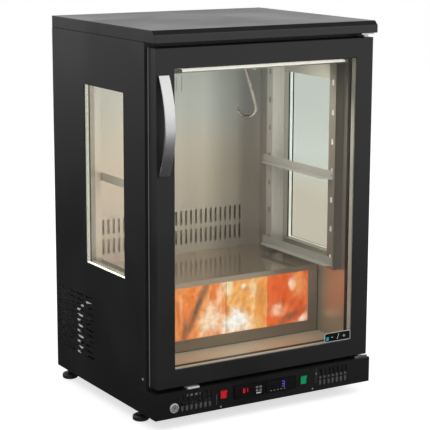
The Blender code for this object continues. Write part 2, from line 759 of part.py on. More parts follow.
def build_plinth():
    """The bent plinth sheet: front with its vents, two returns and a top flange."""
    low = back(PLINTH_SETBACK)
    high = back(FRAME_SETBACK - GAP)
    control = FOOT_HEIGHT + CONTROL_RISE
    holes = [
        centred(0, control, CONTROL_WIDTH + 2 * CONTROL_CLEARANCE, CONTROL_HEIGHT + 2 * CONTROL_CLEARANCE),
        circle(LOCK_CENTRE, FOOT_HEIGHT + LOCK_RISE, LOCK_BARREL_RADIUS - OVERLAP, ROUND),
    ]
    for side in (-1, 1):
        for x in spread(PLINTH_SLOTS, PLINTH_SLOT_PITCH, side * PLINTH_SLOT_CENTRE):
            holes.append(slot(x, FOOT_HEIGHT + PLINTH_SLOT_RISE, PLINTH_SLOT_WIDTH, PLINTH_SLOT_HEIGHT, 4))
    face = rectangle(-HALF_WIDTH, FOOT_HEIGHT, HALF_WIDTH, PLINTH_TOP)
    plinth = flat("plinth_panel", "XZ", face, low, back(PLINTH_INNER), "black_paint")
    bend = [
        (-HALF_WIDTH, FOOT_HEIGHT),
        (-HALF_WIDTH + PLINTH_SHEET, FOOT_HEIGHT),
        (-HALF_WIDTH + PLINTH_SHEET, PLINTH_TOP - PLINTH_SHEET),
        (HALF_WIDTH - PLINTH_SHEET, PLINTH_TOP - PLINTH_SHEET),
        (HALF_WIDTH - PLINTH_SHEET, FOOT_HEIGHT),
        (HALF_WIDTH, FOOT_HEIGHT),
        (HALF_WIDTH, PLINTH_TOP),
        (-HALF_WIDTH, PLINTH_TOP),
    ]
    fuse(plinth, flat("plinth_returns", "XZ", bend, low + PLINTH_SHEET / 2, high, "black_paint"))
    half = CATCH_LENGTH / 2
    low = (CATCH_CENTRE - half, back(CATCH_SETBACK), PLINTH_TOP - OVERLAP)
    high = (CATCH_CENTRE + half, back(CATCH_SETBACK + CATCH_DEPTH), PLINTH_TOP + CATCH_HEIGHT)
    fuse(plinth, block("lock_catch", low, high, "chrome"))
    punch(plinth, "XZ", holes, back(PLINTH_SETBACK) - OVERRUN, back(PLINTH_INNER) + OVERRUN)
    fuse(plinth, lock_barrel())


def build_control_plate():
    """The plate with both controllers and both switches; ears behind the plinth hold it."""
    middle = FOOT_HEIGHT + CONTROL_RISE
    controller_height = FOOT_HEIGHT + CONTROLLER_RISE
    holes = [
        centred(x, controller_height, CONTROLLER_BODY_WIDTH + 2 * GAP, CONTROLLER_BODY_HEIGHT + 2 * GAP)
        for x in (LEFT_CONTROLLER_CENTRE, RIGHT_CONTROLLER_CENTRE)
    ]
    ears_front = back(PLINTH_INNER + GAP)
    face = centred(0, middle, CONTROL_WIDTH, CONTROL_HEIGHT)
    ears = centred(0, middle, CONTROL_WIDTH + 2 * CONTROL_EAR, CONTROL_HEIGHT)
    front = back(PLINTH_SETBACK)
    plate = flat("control_plate", "XZ", face, front, ears_front + OVERLAP, "black_paint", holes)
    ear_plate = flat("control_ears", "XZ", ears, ears_front, ears_front + PLINTH_SHEET, "black_paint", holes)
    fuse(plate, ear_plate)
    add_switch(plate, "red", RED_SWITCH_CENTRE, RED_SWITCH_RISE)
    add_switch(plate, "green", GREEN_SWITCH_CENTRE, GREEN_SWITCH_RISE)


def controller(name, centre, width):
    """A panel controller: bezel on the plate, body through it, recessed display."""
    front = PLINTH_SETBACK - GAP - CONTROLLER_BEZEL
    height = FOOT_HEIGHT + CONTROLLER_RISE
    half = width / 2
    tall = CONTROLLER_HEIGHT / 2
    low = (centre - half, back(front), height - tall)
    high = (centre + half, back(front + CONTROLLER_BEZEL), height + tall)
    unit = block(name, low, high, "black_plastic")
    half = CONTROLLER_BODY_WIDTH / 2
    tall = CONTROLLER_BODY_HEIGHT / 2
    low = (centre - half, back(front + CONTROLLER_BEZEL - OVERLAP), height - tall)
    high = (centre + half, back(front + CONTROLLER_BODY_DEPTH), height + tall)
    fuse(unit, block(f"{name}_body", low, high, "black_plastic"))
    half = DISPLAY_WIDTH / 2
    tall = DISPLAY_HEIGHT / 2
    middle = centre + DISPLAY_OFFSET
    low = (middle - half, back(front - OVERRUN), height - tall)
    high = (middle + half, back(front + DISPLAY_DEPTH), height + tall)
    cut(unit, block(f"{name}_display", low, high, "black_plastic"))
    return unit


def build_controllers():
    left = controller("controller_left", LEFT_CONTROLLER_CENTRE, LEFT_CONTROLLER_WIDTH)
    controller("controller_right", RIGHT_CONTROLLER_CENTRE, RIGHT_CONTROLLER_WIDTH)
    front = PLINTH_SETBACK - GAP - CONTROLLER_BEZEL
    middle = LEFT_CONTROLLER_CENTRE + BUTTON_GROUP_OFFSET
    half = BUTTON_WIDTH / 2
    tall = BUTTON_HEIGHT / 2
    for column, x in enumerate(spread(2, BUTTON_COLUMN_PITCH, middle)):
        for row, z in enumerate(spread(2, BUTTON_ROW_PITCH, FOOT_HEIGHT + CONTROLLER_RISE)):
            number = 2 * column + row + 1
            low = (x - half - GAP, back(front - OVERRUN), z - tall - GAP)
            high = (x + half + GAP, back(front + BUTTON_POCKET), z + tall + GAP)
            cut(left, block(f"button_pocket_{number}", low, high, "black_plastic"))
            low = (x - half, back(front - BUTTON_PROUD), z - tall)
            high = (x + half, back(front - BUTTON_PROUD + BUTTON_LENGTH), z + tall)
            block(f"controller_button_{number}", low, high, "black_plastic")


def rocker_section(pivot_y, pivot_z):
    """Side outline of a rocker at rest: two faces on a crest in front, round behind."""
    front = [(-ROCKER_PIVOT_DEPTH, -ROCKER_HALF), (0, -ROCKER_HALF)]
    round_back = [
        (ROCKER_BACK_RADIUS * math.sin(angle), -ROCKER_BACK_RADIUS * math.cos(angle))
        for angle in (math.pi * i / 8 for i in range(1, 8))
    ]
    crest = [(0, ROCKER_HALF), (-ROCKER_PIVOT_DEPTH, ROCKER_HALF), (-ROCKER_PIVOT_DEPTH + ROCKER_CREST, 0)]
    turn = Matrix.Rotation(ROCKER_TILT, 2)
    points = [turn @ Vector(point) for point in front + round_back + crest]
    return [(pivot_y + point.x, pivot_z + point.y) for point in points]


def add_switch(plate, colour, centre, rise):
    """A rocker switch: housing with its bezel on the plate, and the rocker in it."""
    front = PLINTH_SETBACK - SWITCH_BEZEL
    height = FOOT_HEIGHT + rise
    half = SWITCH_WIDTH / 2
    tall = SWITCH_HEIGHT / 2
    low = (centre - half, back(front), height - tall)
    high = (centre + half, back(PLINTH_SETBACK + OVERLAP), height + tall)
    bezel = block(f"switch_bezel_{colour}", low, high, "black_plastic")
    half -= SWITCH_BODY_INSET
    tall -= SWITCH_BODY_INSET
    low = (centre - half, back(PLINTH_SETBACK), height - tall)
    high = (centre + half, back(front + SWITCH_BODY_DEPTH), height + tall)
    fuse(plate, bezel, block(f"switch_body_{colour}", low, high, "black_plastic"))
    half = SWITCH_WIDTH / 2 - SWITCH_WALL
    tall = SWITCH_HEIGHT / 2 - SWITCH_WALL
    low = (centre - half, back(front - OVERRUN), height - tall)
    high = (centre + half, back(front + SWITCH_POCKET_DEPTH), height + tall)
    cut(plate, block(f"switch_pocket_{colour}", low, high, "black_plastic"))
    pivot = (centre, back(front + ROCKER_PIVOT_DEPTH), height)
    section = rocker_section(pivot[1], pivot[2])
    rocker = flat(f"rocker_{colour}", "YZ", section, centre - half + GAP, centre + half - GAP, colour)
    set_origin(rocker, pivot)


def lock_barrel():
    """The round housing of the lock, through the plinth, with its bore."""
    bore = LOCK_PLUG_RADIUS + GAP
    profile = [
        (bore, LOCK_FLANGE),
        (LOCK_FLANGE_RADIUS - LOCK_FLANGE / 3, LOCK_FLANGE),
        (LOCK_FLANGE_RADIUS, LOCK_FLANGE / 2),
        (LOCK_FLANGE_RADIUS, -OVERLAP),
        (LOCK_BARREL_RADIUS, -OVERLAP),
        (LOCK_BARREL_RADIUS, -LOCK_BARREL_DEPTH),
        (bore, -LOCK_BARREL_DEPTH),
        (bore, LOCK_FLANGE),
    ]
    place = (LOCK_CENTRE, back(PLINTH_SETBACK), FOOT_HEIGHT + LOCK_RISE)
    return turned("lock_barrel", profile, "chrome", place, (math.pi / 2, 0, 0))


def build_lock_plug():
    """The plug with its keyway in front and its cam behind the barrel."""
    height = FOOT_HEIGHT + LOCK_RISE
    cam_front = PLINTH_SETBACK + LOCK_BARREL_DEPTH + GAP
    start = (LOCK_CENTRE, back(PLINTH_SETBACK - LOCK_FLANGE), height)
    end = (LOCK_CENTRE, back(cam_front + LOCK_CAM_THICKNESS / 2), height)
    plug = rod("lock_plug", LOCK_PLUG_RADIUS, start, end, "chrome")
    half = LOCK_CAM_WIDTH / 2
    outline = rectangle(LOCK_CENTRE - half, height - half, LOCK_CENTRE + half, height + LOCK_CAM_LENGTH)
    cam_rear = cam_front + LOCK_CAM_THICKNESS
    fuse(plug, flat("lock_cam", "XZ", outline, back(cam_front), back(cam_rear), "chrome"))
    half = LOCK_KEYWAY_WIDTH / 2
    tall = LOCK_KEYWAY_HEIGHT / 2
    low = (LOCK_CENTRE - half, back(PLINTH_SETBACK - LOCK_FLANGE - OVERRUN), height - tall)
    high = (LOCK_CENTRE + half, back(PLINTH_SETBACK - LOCK_FLANGE + LOCK_KEYWAY_DEPTH), height + tall)
    cut(plug, block("keyway", low, high, "chrome"))


def build_front_frame():
    outline = rectangle(-SHELL_HALF, BODY_BOTTOM, SHELL_HALF, BODY_TOP)
    opening = rectangle(-INNER_HALF, FLOOR_TOP, INNER_HALF, CEILING)
    low = back(FRAME_SETBACK)
    flat("front_frame", "XZ", outline, low, low + FRAME_DEPTH, "black_paint", [opening])


def build_insulation():
    """Foamed walls, roof, rear and stepped floor, skinned with stainless on the inside."""
    front = back(LINER_FRONT)
    rear = back(SHELL_REAR)
    section = [
        (front, BODY_BOTTOM),
        (back(MACHINE_SETBACK), BODY_BOTTOM),
        (back(MACHINE_SETBACK), MACHINE_ROOF),
        (rear, MACHINE_ROOF),
        (rear, BODY_TOP),
        (front, BODY_TOP),
    ]
    outer_seat = SHELL_HALF - WINDOW_PANE - GAP
    inner_seat = outer_seat - WINDOW_SPACER_DEPTH
    for side, hand in ((-1, "left"), (1, "right")):
        low, high = between(side, INNER_HALF, SHELL_HALF)
        wall = flat(f"wall_{hand}", "YZ", section, low, high, "stainless", [window_outline()])
        low, high = between(side, outer_seat, SHELL_HALF + OVERRUN)
        cut(wall, flat(f"outer_rebate_{hand}", "YZ", window_outline(WINDOW_LAP), low, high, "stainless"))
        low, high = between(side, inner_seat - WINDOW_PANE - 2 * GAP, inner_seat)
        cut(wall, flat(f"inner_groove_{hand}", "YZ", window_outline(WINDOW_LAP), low, high, "stainless"))
    half = INNER_HALF - GAP
    section = [
        (front, CEILING),
        (back(LINER_REAR), CEILING),
        (back(LINER_REAR), MACHINE_ROOF),
        (rear, MACHINE_ROOF),
        (rear, BODY_TOP),
        (front, BODY_TOP),
    ]
    flat("roof_and_rear", "YZ", section, -half, half, "stainless")
    floor = FLOOR_TOP - LINER_SHEET - GAP
    shelf = STEP_TOP - LINER_SHEET - GAP
    shelf_rear = back(LINER_REAR - GAP)
    section = [
        (front, BODY_BOTTOM),
        (back(MACHINE_SETBACK), BODY_BOTTOM),
        (back(MACHINE_SETBACK), MACHINE_ROOF),
        (shelf_rear, MACHINE_ROOF),
        (shelf_rear, shelf),
        (back(RISER_SETBACK), shelf),
        (back(RISER_SETBACK), floor),
        (front, floor),
    ]
    flat("stepped_floor", "YZ", section, -half, half, "foam")


def build_windows():
    """Two panes on the two sides of the spacer ridge, in each side wall."""
    outer_seat = SHELL_HALF - WINDOW_PANE - GAP
    layers = (
        ("outer", SHELL_HALF),
        ("inner", outer_seat - WINDOW_SPACER_DEPTH - GAP),
    )
    for side, hand in ((-1, "left"), (1, "right")):
        for layer, outer in layers:
            low, high = between(side, outer - WINDOW_PANE, outer)
            flat(f"window_{layer}_{hand}", "YZ", window_outline(WINDOW_LAP - GAP), low, high, "glass")


def build_step_cover():
    """One bent stainless sheet over the floor, up the riser and back over the step."""
    half = INNER_HALF - GAP
    front = back(LINER_FRONT)
    riser = back(STEP_SETBACK)
    rear = back(DUCT_SETBACK - GAP)
    section = [
        (front, FLOOR_TOP - LINER_SHEET),
        (riser + LINER_SHEET, FLOOR_TOP - LINER_SHEET),
        (riser + LINER_SHEET, STEP_TOP - LINER_SHEET),
        (rear, STEP_TOP - LINER_SHEET),
        (rear, STEP_TOP),
        (riser, STEP_TOP),
        (riser, FLOOR_TOP),
        (front, FLOOR_TOP),
    ]
    cover = flat("step_cover", "YZ", section, -half, half, "stainless")
    opening = SALT_BLOCKS * SALT_PITCH / 2
    low = (-opening, riser - OVERRUN, FLOOR_TOP + SALT_WINDOW_MARGIN)
    high = (opening, riser + OVERRUN, STEP_TOP - SALT_WINDOW_TOP_MARGIN)
    cut(cover, block("salt_window", low, high, "stainless"))


def build_salt():
    """Salt blocks side by side in the open front of their lamp's housing."""
    front = back(STEP_SETBACK + LINER_SHEET + GAP)
    bottom = FLOOR_TOP + SALT_WINDOW_MARGIN - SALT_LAP
    top = STEP_TOP - SALT_WINDOW_TOP_MARGIN + SALT_LAP
    half = SALT_BLOCKS * SALT_PITCH / 2 + GAP
    low = (-half - LAMP_WALL, front, bottom - LAMP_WALL)
    high = (half + LAMP_WALL, front + LAMP_DEPTH, top + LAMP_WALL)
    lamp = block("salt_lamp", low, high, "lamp_white")
    low = (-half, front - OVERRUN, bottom)
    high = (half, front + LAMP_DEPTH - LAMP_BACK, top)
    cut(lamp, block("lamp_pocket", low, high, "lamp_white"))
    for number, x in enumerate(spread(SALT_BLOCKS, SALT_PITCH), 1):
        half = SALT_PITCH / 2 - GAP / 2
        low = (x - half, front, bottom + GAP)
        high = (x + half, front + SALT_THICKNESS, top - GAP)
        bevel(block(f"salt_block_{number}", low, high, "salt"), SALT_EDGE)


def build_duct_panel():
    half = INNER_HALF - GAP
    outline = rectangle(-half, STEP_TOP - LINER_SHEET, half, CEILING - GAP)
    rows = (
        (DUCT_SLOTS, DUCT_LOW_ROW),
        (DUCT_SLOTS, DUCT_LOW_ROW + DUCT_ROW_PITCH),
        (OUTLET_SLOTS, DUCT_FAN_CENTRE_HEIGHT),
    )
    holes = [
        slot(x, z, DUCT_SLOT_WIDTH, DUCT_SLOT_HEIGHT, 2)
        for count, z in rows
        for x in spread(count, DUCT_SLOT_PITCH)
    ]
    low = back(DUCT_SETBACK)
    panel = flat("air_panel", "XZ", outline, low, low + DUCT_PANEL_THICKNESS, "stainless")
    add_duct_fan(panel, low + DUCT_PANEL_THICKNESS)
    punch(panel, "XZ", holes, low - OVERRUN, low + DUCT_PANEL_THICKNESS + DUCT_FAN_BASE - GAP)


def fan(name, centre, radius, hub, depth, blades, finish):
    """Axial fan wheel about Y: a hub and pitched blades."""
    x, y, z = centre
    wheel = rod(name, hub, (x, y - depth / 2, z), (x, y + depth / 2, z), finish)
    for i in range(blades):
        blade = bpy.data.meshes.new(f"{name}_blade_{i}")
        shape = bmesh.new()
        bmesh.ops.create_cube(shape, size=1)
        reach = radius - hub / 2
        size = (depth * FAN_BLADE_WIDTH / FAN_HUB_DEPTH, FAN_BLADE_THICKNESS, reach)
        bmesh.ops.scale(shape, vec=size, verts=shape.verts)
        tip = [vertex for vertex in shape.verts if vertex.co.z > 0]
        bmesh.ops.scale(shape, vec=(radius / hub / 2, 1, 1), verts=tip)
        bmesh.ops.rotate(shape, matrix=Matrix.Rotation(FAN_BLADE_PITCH, 3, "Z"), verts=shape.verts)
        bmesh.ops.translate(shape, vec=(0, 0, hub / 2 + reach / 2), verts=shape.verts)
        turn = Matrix.Rotation(2 * math.pi * i / blades, 3, "Y")
        bmesh.ops.rotate(shape, matrix=turn, verts=shape.verts)
        shape.to_mesh(blade)
        shape.free()
        fuse(wheel, add(blade.name, blade, finish, centre))
    return wheel


def add_duct_fan(panel, face):
    """The flat fan behind the air panel: its frame is on the panel, its wheel turns in it."""
    half = DUCT_FAN_SIZE / 2
    middle = DUCT_FAN_CENTRE_HEIGHT
    rear = face + DUCT_FAN_DEPTH
    square = centred(0, middle, DUCT_FAN_SIZE, DUCT_FAN_SIZE)
    bore = circle(0, middle, DUCT_FAN_BORE, ROUND)
    frame = flat("duct_fan_frame", "XZ", square, face - OVERLAP, rear, "black_plastic", [bore])
    arm = DUCT_FAN_ARM / 2
    deep = rear - DUCT_FAN_BASE
    low = (-half + arm, deep, middle - arm)
    across = block("duct_fan_arm_1", low, (half - arm, rear, middle + arm), "black_plastic")
    low = (-arm, deep, middle - half + arm)
    upright = block("duct_fan_arm_2", low, (arm, rear, middle + half - arm), "black_plastic")
    hub_front = face + DUCT_FAN_BASE
    hub_rear = deep - GAP
    shaft_front = (hub_front + hub_rear) / 2
    start = (0, shaft_front, middle)
    axle = rod("duct_fan_axle", FAN_SHAFT_RADIUS, start, (0, rear, middle), "black_plastic")
    fuse(panel, frame, across, upright, axle)
    centre = (0, shaft_front, middle)
    depth = hub_rear - hub_front
    wheel = fan("duct_fan", centre, DUCT_FAN_RADIUS, DUCT_FAN_HUB, depth, DUCT_FAN_BLADES, "black_plastic")
    start = (0, shaft_front - GAP, middle)
    end = (0, hub_rear + OVERRUN, middle)
    cut(wheel, rod("duct_fan_bore", FAN_SHAFT_RADIUS + GAP, start, end, "black_plastic"))
    set_origin(wheel, centre)


def build_evaporator():
    """Finned coil in the duct, on the rear wall."""
    rear = back(LINER_REAR - GAP)
    outline = comb(-EVAPORATOR_WIDTH / 2, EVAPORATOR_WIDTH, rear - EVAPORATOR_DEPTH, rear, EVAPORATOR_FINS)
    flat("evaporator", "XY", outline, EVAPORATOR_LOWEST, EVAPORATOR_LOWEST + EVAPORATOR_HEIGHT, "aluminium")


def comb(left, width, front, rear, fins):
    """Plan of a finned core: grooves between the fins on both faces."""
    pitch = width / fins
    depth = min(FIN_GROOVE_DEPTH, (rear - front) / 3)
    half = min(FIN_GROOVE, pitch / 2) / 2
    near = [(left, front)]
    far = [(left, rear)]
    for i in range(1, fins):
        x = left + i * pitch
        near += [(x - half, front), (x - half, front + depth), (x + half, front + depth), (x + half, front)]
        far += [(x - half, rear), (x - half, rear - depth), (x + half, rear - depth), (x + half, rear)]
    near.append((left + width, front))
    far.append((left + width, rear))
    return near + far[::-1]


def build_condenser():
    """Finned core with return bends on its left end, and a fan in a shroud behind it."""
    bottom = FOOT_HEIGHT + PAN_SHEET + GAP + SHROUD_SHEET
    left = CONDENSER_LEFT
    front = back(CONDENSER_SETBACK)
    rear = front + CONDENSER_DEPTH
    plan = comb(left, CONDENSER_WIDTH, front, rear, CONDENSER_FINS)
    core = flat("condenser", "XY", plan, bottom, bottom + CONDENSER_HEIGHT, "aluminium")
    pitch = CONDENSER_HEIGHT / TUBE_ROWS
    for column, y in enumerate(spread(2, 2 * TUBE_COLUMN_OFFSET, (front + rear) / 2)):
        for row in range(0, TUBE_ROWS - 1, 2):
            low = bottom + pitch * (row + 1 / 2)
            points = [(left + OVERRUN, y, low)]
            for i in range(7):
                angle = math.pi * i / 6
                x = left - BEND_REACH * math.sin(angle)
                points.append((x, y, low + pitch / 2 * (1 - math.cos(angle))))
            points.append((left + OVERRUN, y, low + pitch))
            fuse(core, wire(f"bend_{column}_{row}", points, TUBE_RADIUS, "copper"))
    middle = (left + CONDENSER_RIGHT) / 2
    height = bottom + CONDENSER_HEIGHT / 2
    low = (left - SHROUD_SHEET, rear - OVERLAP, bottom - SHROUD_SHEET)
    high = (CONDENSER_RIGHT + SHROUD_SHEET, rear + SHROUD_DEPTH, bottom + CONDENSER_HEIGHT + SHROUD_SHEET)
    shroud = block("fan_shroud", low, high, "black_paint")
    low = (left + SHROUD_SHEET, rear - OVERRUN, bottom + SHROUD_SHEET)
    back_plate = rear + SHROUD_DEPTH - SHROUD_SHEET
    high = (CONDENSER_RIGHT - SHROUD_SHEET, back_plate, bottom + CONDENSER_HEIGHT - SHROUD_SHEET)
    cut(shroud, block("shroud_hollow", low, high, "black_paint"))
    start = (middle, back_plate - OVERRUN, height)
    end = (middle, back_plate + OVERRUN, height)
    cut(shroud, rod("shroud_bore", FAN_RING_RADIUS, start, end, "black_paint", FINE))
    arm = FAN_ARM_WIDTH / 2
    reach = FAN_RING_RADIUS + arm
    low = (middle - reach, back_plate + SHROUD_SHEET - OVERLAP, height - arm)
    high = (middle + reach, back_plate + 2 * SHROUD_SHEET, height + arm)
    fuse(shroud, block("motor_arm", low, high, "black_paint"))
    start = (middle, back_plate + OVERLAP, height)
    end = (middle, back_plate + FAN_MOTOR_DEPTH, height)
    fuse(shroud, rod("fan_motor", FAN_MOTOR_RADIUS, start, end, "black_paint"))
    hub_rear = back_plate - GAP
    shaft_front = hub_rear - FAN_HUB_DEPTH / 2
    fuse(shroud, rod("motor_shaft", FAN_SHAFT_RADIUS, (middle, shaft_front, height), end, "black_paint"))
    fuse(core, shroud)
    centre = (middle, hub_rear - FAN_HUB_DEPTH / 2, height)
    sizes = (FAN_RADIUS, FAN_HUB_RADIUS, FAN_HUB_DEPTH, FAN_BLADES)
    wheel = fan("condenser_fan", centre, *sizes, "black_plastic")
    start = (middle, shaft_front - GAP, height)
    end = (middle, hub_rear + OVERRUN, height)
    cut(wheel, rod("condenser_fan_bore", FAN_SHAFT_RADIUS + GAP, start, end, "black_plastic"))
    set_origin(wheel, centre)


def build_compressor():
    """Hermetic compressor: drawn shell with a seam, base plate on rubber mounts."""
    floor = FOOT_HEIGHT + PAN_SHEET + GAP
    place = (COMPRESSOR_CENTRE, back(COMPRESSOR_SETBACK), floor)
    base = COMPRESSOR_MOUNT_HEIGHT
    top = base + COMPRESSOR_HEIGHT
    dome = COMPRESSOR_RADIUS / 3
    profile = [(0, top)]
    for i in range(1, 5):
        angle = math.pi / 2 * i / 4
        profile.append((COMPRESSOR_RADIUS * math.sin(angle), top - dome * (1 - math.cos(angle))))
    middle = (base + top) / 2
    profile += [
        (COMPRESSOR_RADIUS, middle + COMPRESSOR_SEAM),
        (COMPRESSOR_RADIUS + COMPRESSOR_SEAM, middle + COMPRESSOR_SEAM),
        (COMPRESSOR_RADIUS + COMPRESSOR_SEAM, middle),
        (COMPRESSOR_RADIUS, middle),
        (COMPRESSOR_RADIUS, base + dome / 2),
        (COMPRESSOR_RADIUS - dome / 2, base),
        (0, base),
    ]
    shell = turned("compressor", profile, "black_paint", place, sides=FINE)
    half = COMPRESSOR_BASE / 2
    x, y, z = place
    low = (x - half, y - half, z + base - COMPRESSOR_BASE_THICKNESS)
    high = (x + half, y + half, z + base + OVERLAP)
    fuse(shell, block("compressor_base", low, high, "black_paint"))
    for i, u in enumerate((-half + COMPRESSOR_MOUNT_RADIUS, half - COMPRESSOR_MOUNT_RADIUS)):
        for j, v in enumerate((-half + COMPRESSOR_MOUNT_RADIUS, half - COMPRESSOR_MOUNT_RADIUS)):
            start = (x + u, y + v, z)
            end = (x + u, y + v, z + base)
            fuse(shell, rod(f"rubber_mount_{i}{j}", COMPRESSOR_MOUNT_RADIUS, start, end, "rubber", COARSE))
    low = (x - TERMINAL_WIDTH / 2, y - COMPRESSOR_RADIUS - TERMINAL_DEPTH, z + middle - TERMINAL_HEIGHT)
    high = (x + TERMINAL_WIDTH / 2, y, z + middle - COMPRESSOR_SEAM)
    fuse(shell, block("terminal_cover", low, high, "black_plastic"))


def door_ring(inset_sides, inset_bottom, inset_top):
    return rectangle(
        -DOOR_HALF + inset_sides,
        DOOR_BOTTOM + inset_bottom,
        DOOR_HALF - inset_sides,
        DOOR_TOP - inset_top,
    )


def glass_outline(lap=0):
    return rectangle(-GLASS_HALF - lap, GLASS_BOTTOM - lap, GLASS_HALF + lap, GLASS_TOP + lap)


def build_door():
    """Door frame with its insulating glass, gasket and handle, on the hinge pins' axis."""
    front = back(DOOR_SETBACK)
    rear = back(DOOR_REAR)
    frame = flat("door_frame", "XZ", door_ring(0, 0, 0), front, rear, "black_paint", [glass_outline()])
    bevel(frame, DOOR_EDGE)
    unit = 2 * DOOR_PANE + DOOR_SPACER_DEPTH + 4 * GAP
    groove = flat(
        "glass_groove",
        "XZ",
        glass_outline(DOOR_GROOVE),
        front + DOOR_LIP,
        front + DOOR_LIP + unit,
        "black_paint",
    )
    tongue_middle = GASKET_WIDTH / 2
    tongue = GASKET_TONGUE_WIDTH / 2
    margins = (GASKET_MARGIN, GASKET_MARGIN_BELOW, GASKET_MARGIN_ABOVE)
    outer = door_ring(*(margin + tongue_middle - tongue - GAP for margin in margins))
    inner = door_ring(*(margin + tongue_middle + tongue + GAP for margin in margins))
    gasket_groove = flat(
        "gasket_groove",
        "XZ",
        outer,
        rear - GASKET_TONGUE_HEIGHT - GAP,
        rear + OVERRUN,
        "black_paint",
        [inner],
    )
    cut(frame, groove, gasket_groove)
    x = HINGE_X
    y = back(HINGE_SETBACK)
    for end, face, sign in (("bottom", DOOR_BOTTOM, 1), ("top", DOOR_TOP, -1)):
        mouth = (x, y, face - sign * OVERRUN)
        bottom = (x, y, face + sign * (HINGE_PIN_LENGTH + GAP))
        cut(frame, rod(f"pin_hole_{end}", HINGE_PIN_RADIUS + GAP, mouth, bottom, "black_paint"))
    pane_outer = front + DOOR_LIP + GAP
    spacer = pane_outer + DOOR_PANE + GAP
    pane_inner = spacer + DOOR_SPACER_DEPTH + GAP
    lap = DOOR_GROOVE - GAP
    glass = [
        flat("door_pane_outer", "XZ", glass_outline(lap), pane_outer, pane_outer + DOOR_PANE, "glass"),
        flat("door_pane_inner", "XZ", glass_outline(lap), pane_inner, pane_inner + DOOR_PANE, "glass"),
    ]
    glass.append(
        flat(
            "door_spacer",
            "XZ",
            glass_outline(DOOR_SPACER_WIDTH),
            spacer,
            spacer + DOOR_SPACER_DEPTH,
            "spacer",
            [glass_outline()],
        )
    )
    outer = door_ring(*margins)
    inner = door_ring(*(margin + GASKET_WIDTH for margin in margins))
    seal_rear = back(FRAME_SETBACK - GAP)
    gasket = flat("door_gasket", "XZ", outer, rear + GAP, seal_rear, "rubber", [inner])
    outer = door_ring(*(margin + tongue_middle - tongue for margin in margins))
    inner = door_ring(*(margin + tongue_middle + tongue for margin in margins))
    tip = rear - GASKET_TONGUE_HEIGHT
    ridge = flat("gasket_tongue", "XZ", outer, tip, rear + GAP + OVERLAP, "rubber", [inner])
    fuse(gasket, ridge)
    set_origin(frame, (x, y, DOOR_BOTTOM))
    pieces = [frame, gasket, build_handle(), *glass]
    axis_empty("door_axis", (x, y, DOOR_BOTTOM), pieces)


def build_handle():
    """A flat bar bowed away from the door in one sweep, on two short posts."""
    bow = HANDLE_REACH - HANDLE_THICKNESS - GAP
    half = HANDLE_LENGTH / 2
    steps = 24
    inner = []
    for i in range(steps + 1):
        share = 2 * i / steps - 1
        inner.append((GAP + bow * (1 - share**2), half * share))
    outer = [(away + HANDLE_THICKNESS, along) for away, along in inner]
    face = back(DOOR_SETBACK)
    outline = [(face - away, HANDLE_CENTRE_HEIGHT + along) for away, along in inner + outer[::-1]]
    left = -DOOR_HALF + HANDLE_INSET
    handle = flat("door_handle", "YZ", outline, left, left + HANDLE_WIDTH, "brushed_steel")
    bevel(handle, HANDLE_EDGE, angle=math.radians(60))
    middle = left + HANDLE_WIDTH / 2
    reach = GAP + bow * (1 - HANDLE_POST_SHARE**2) + HANDLE_THICKNESS / 2
    for label, sign in (("lower", -1), ("upper", 1)):
        height = HANDLE_CENTRE_HEIGHT + sign * half * HANDLE_POST_SHARE
        start = (middle, face - GAP, height)
        end = (middle, face - reach, height)
        fuse(handle, rod(f"handle_post_{label}", HANDLE_POST_RADIUS, start, end, "brushed_steel"))
    return handle


def build_hinges():
    """A bracket plate above and below the door, each with a boss and a pin."""
    y = back(HINGE_SETBACK)
    right = HALF_WIDTH - HINGE_PLATE_EDGE
    outline = rectangle(right - HINGE_PLATE_WIDTH, back(HINGE_PLATE_FRONT), right, back(FRAME_SETBACK - GAP))
    ends = (
        ("hinge_bottom", PLINTH_TOP + GAP, 1, DOOR_BOTTOM),
        ("hinge_top", WORKTOP_BOTTOM - GAP, -1, DOOR_TOP),
    )
    for name, seat, sign, door_face in ends:
        inner = seat + sign * HINGE_PLATE_THICKNESS
        plate = flat(name, "XY", outline, *sorted((seat, inner)), "black_paint")
        start = (HINGE_X, y, inner - sign * OVERLAP)
        boss_end = (HINGE_X, y, door_face - sign * GAP)
        pin_end = (HINGE_X, y, door_face + sign * HINGE_PIN_LENGTH)
        fuse(plate, rod(f"{name}_boss", HINGE_BOSS_RADIUS, start, boss_end, "black_paint"))
        fuse(plate, rod(f"{name}_pin", HINGE_PIN_RADIUS, start, pin_end, "black_paint"))


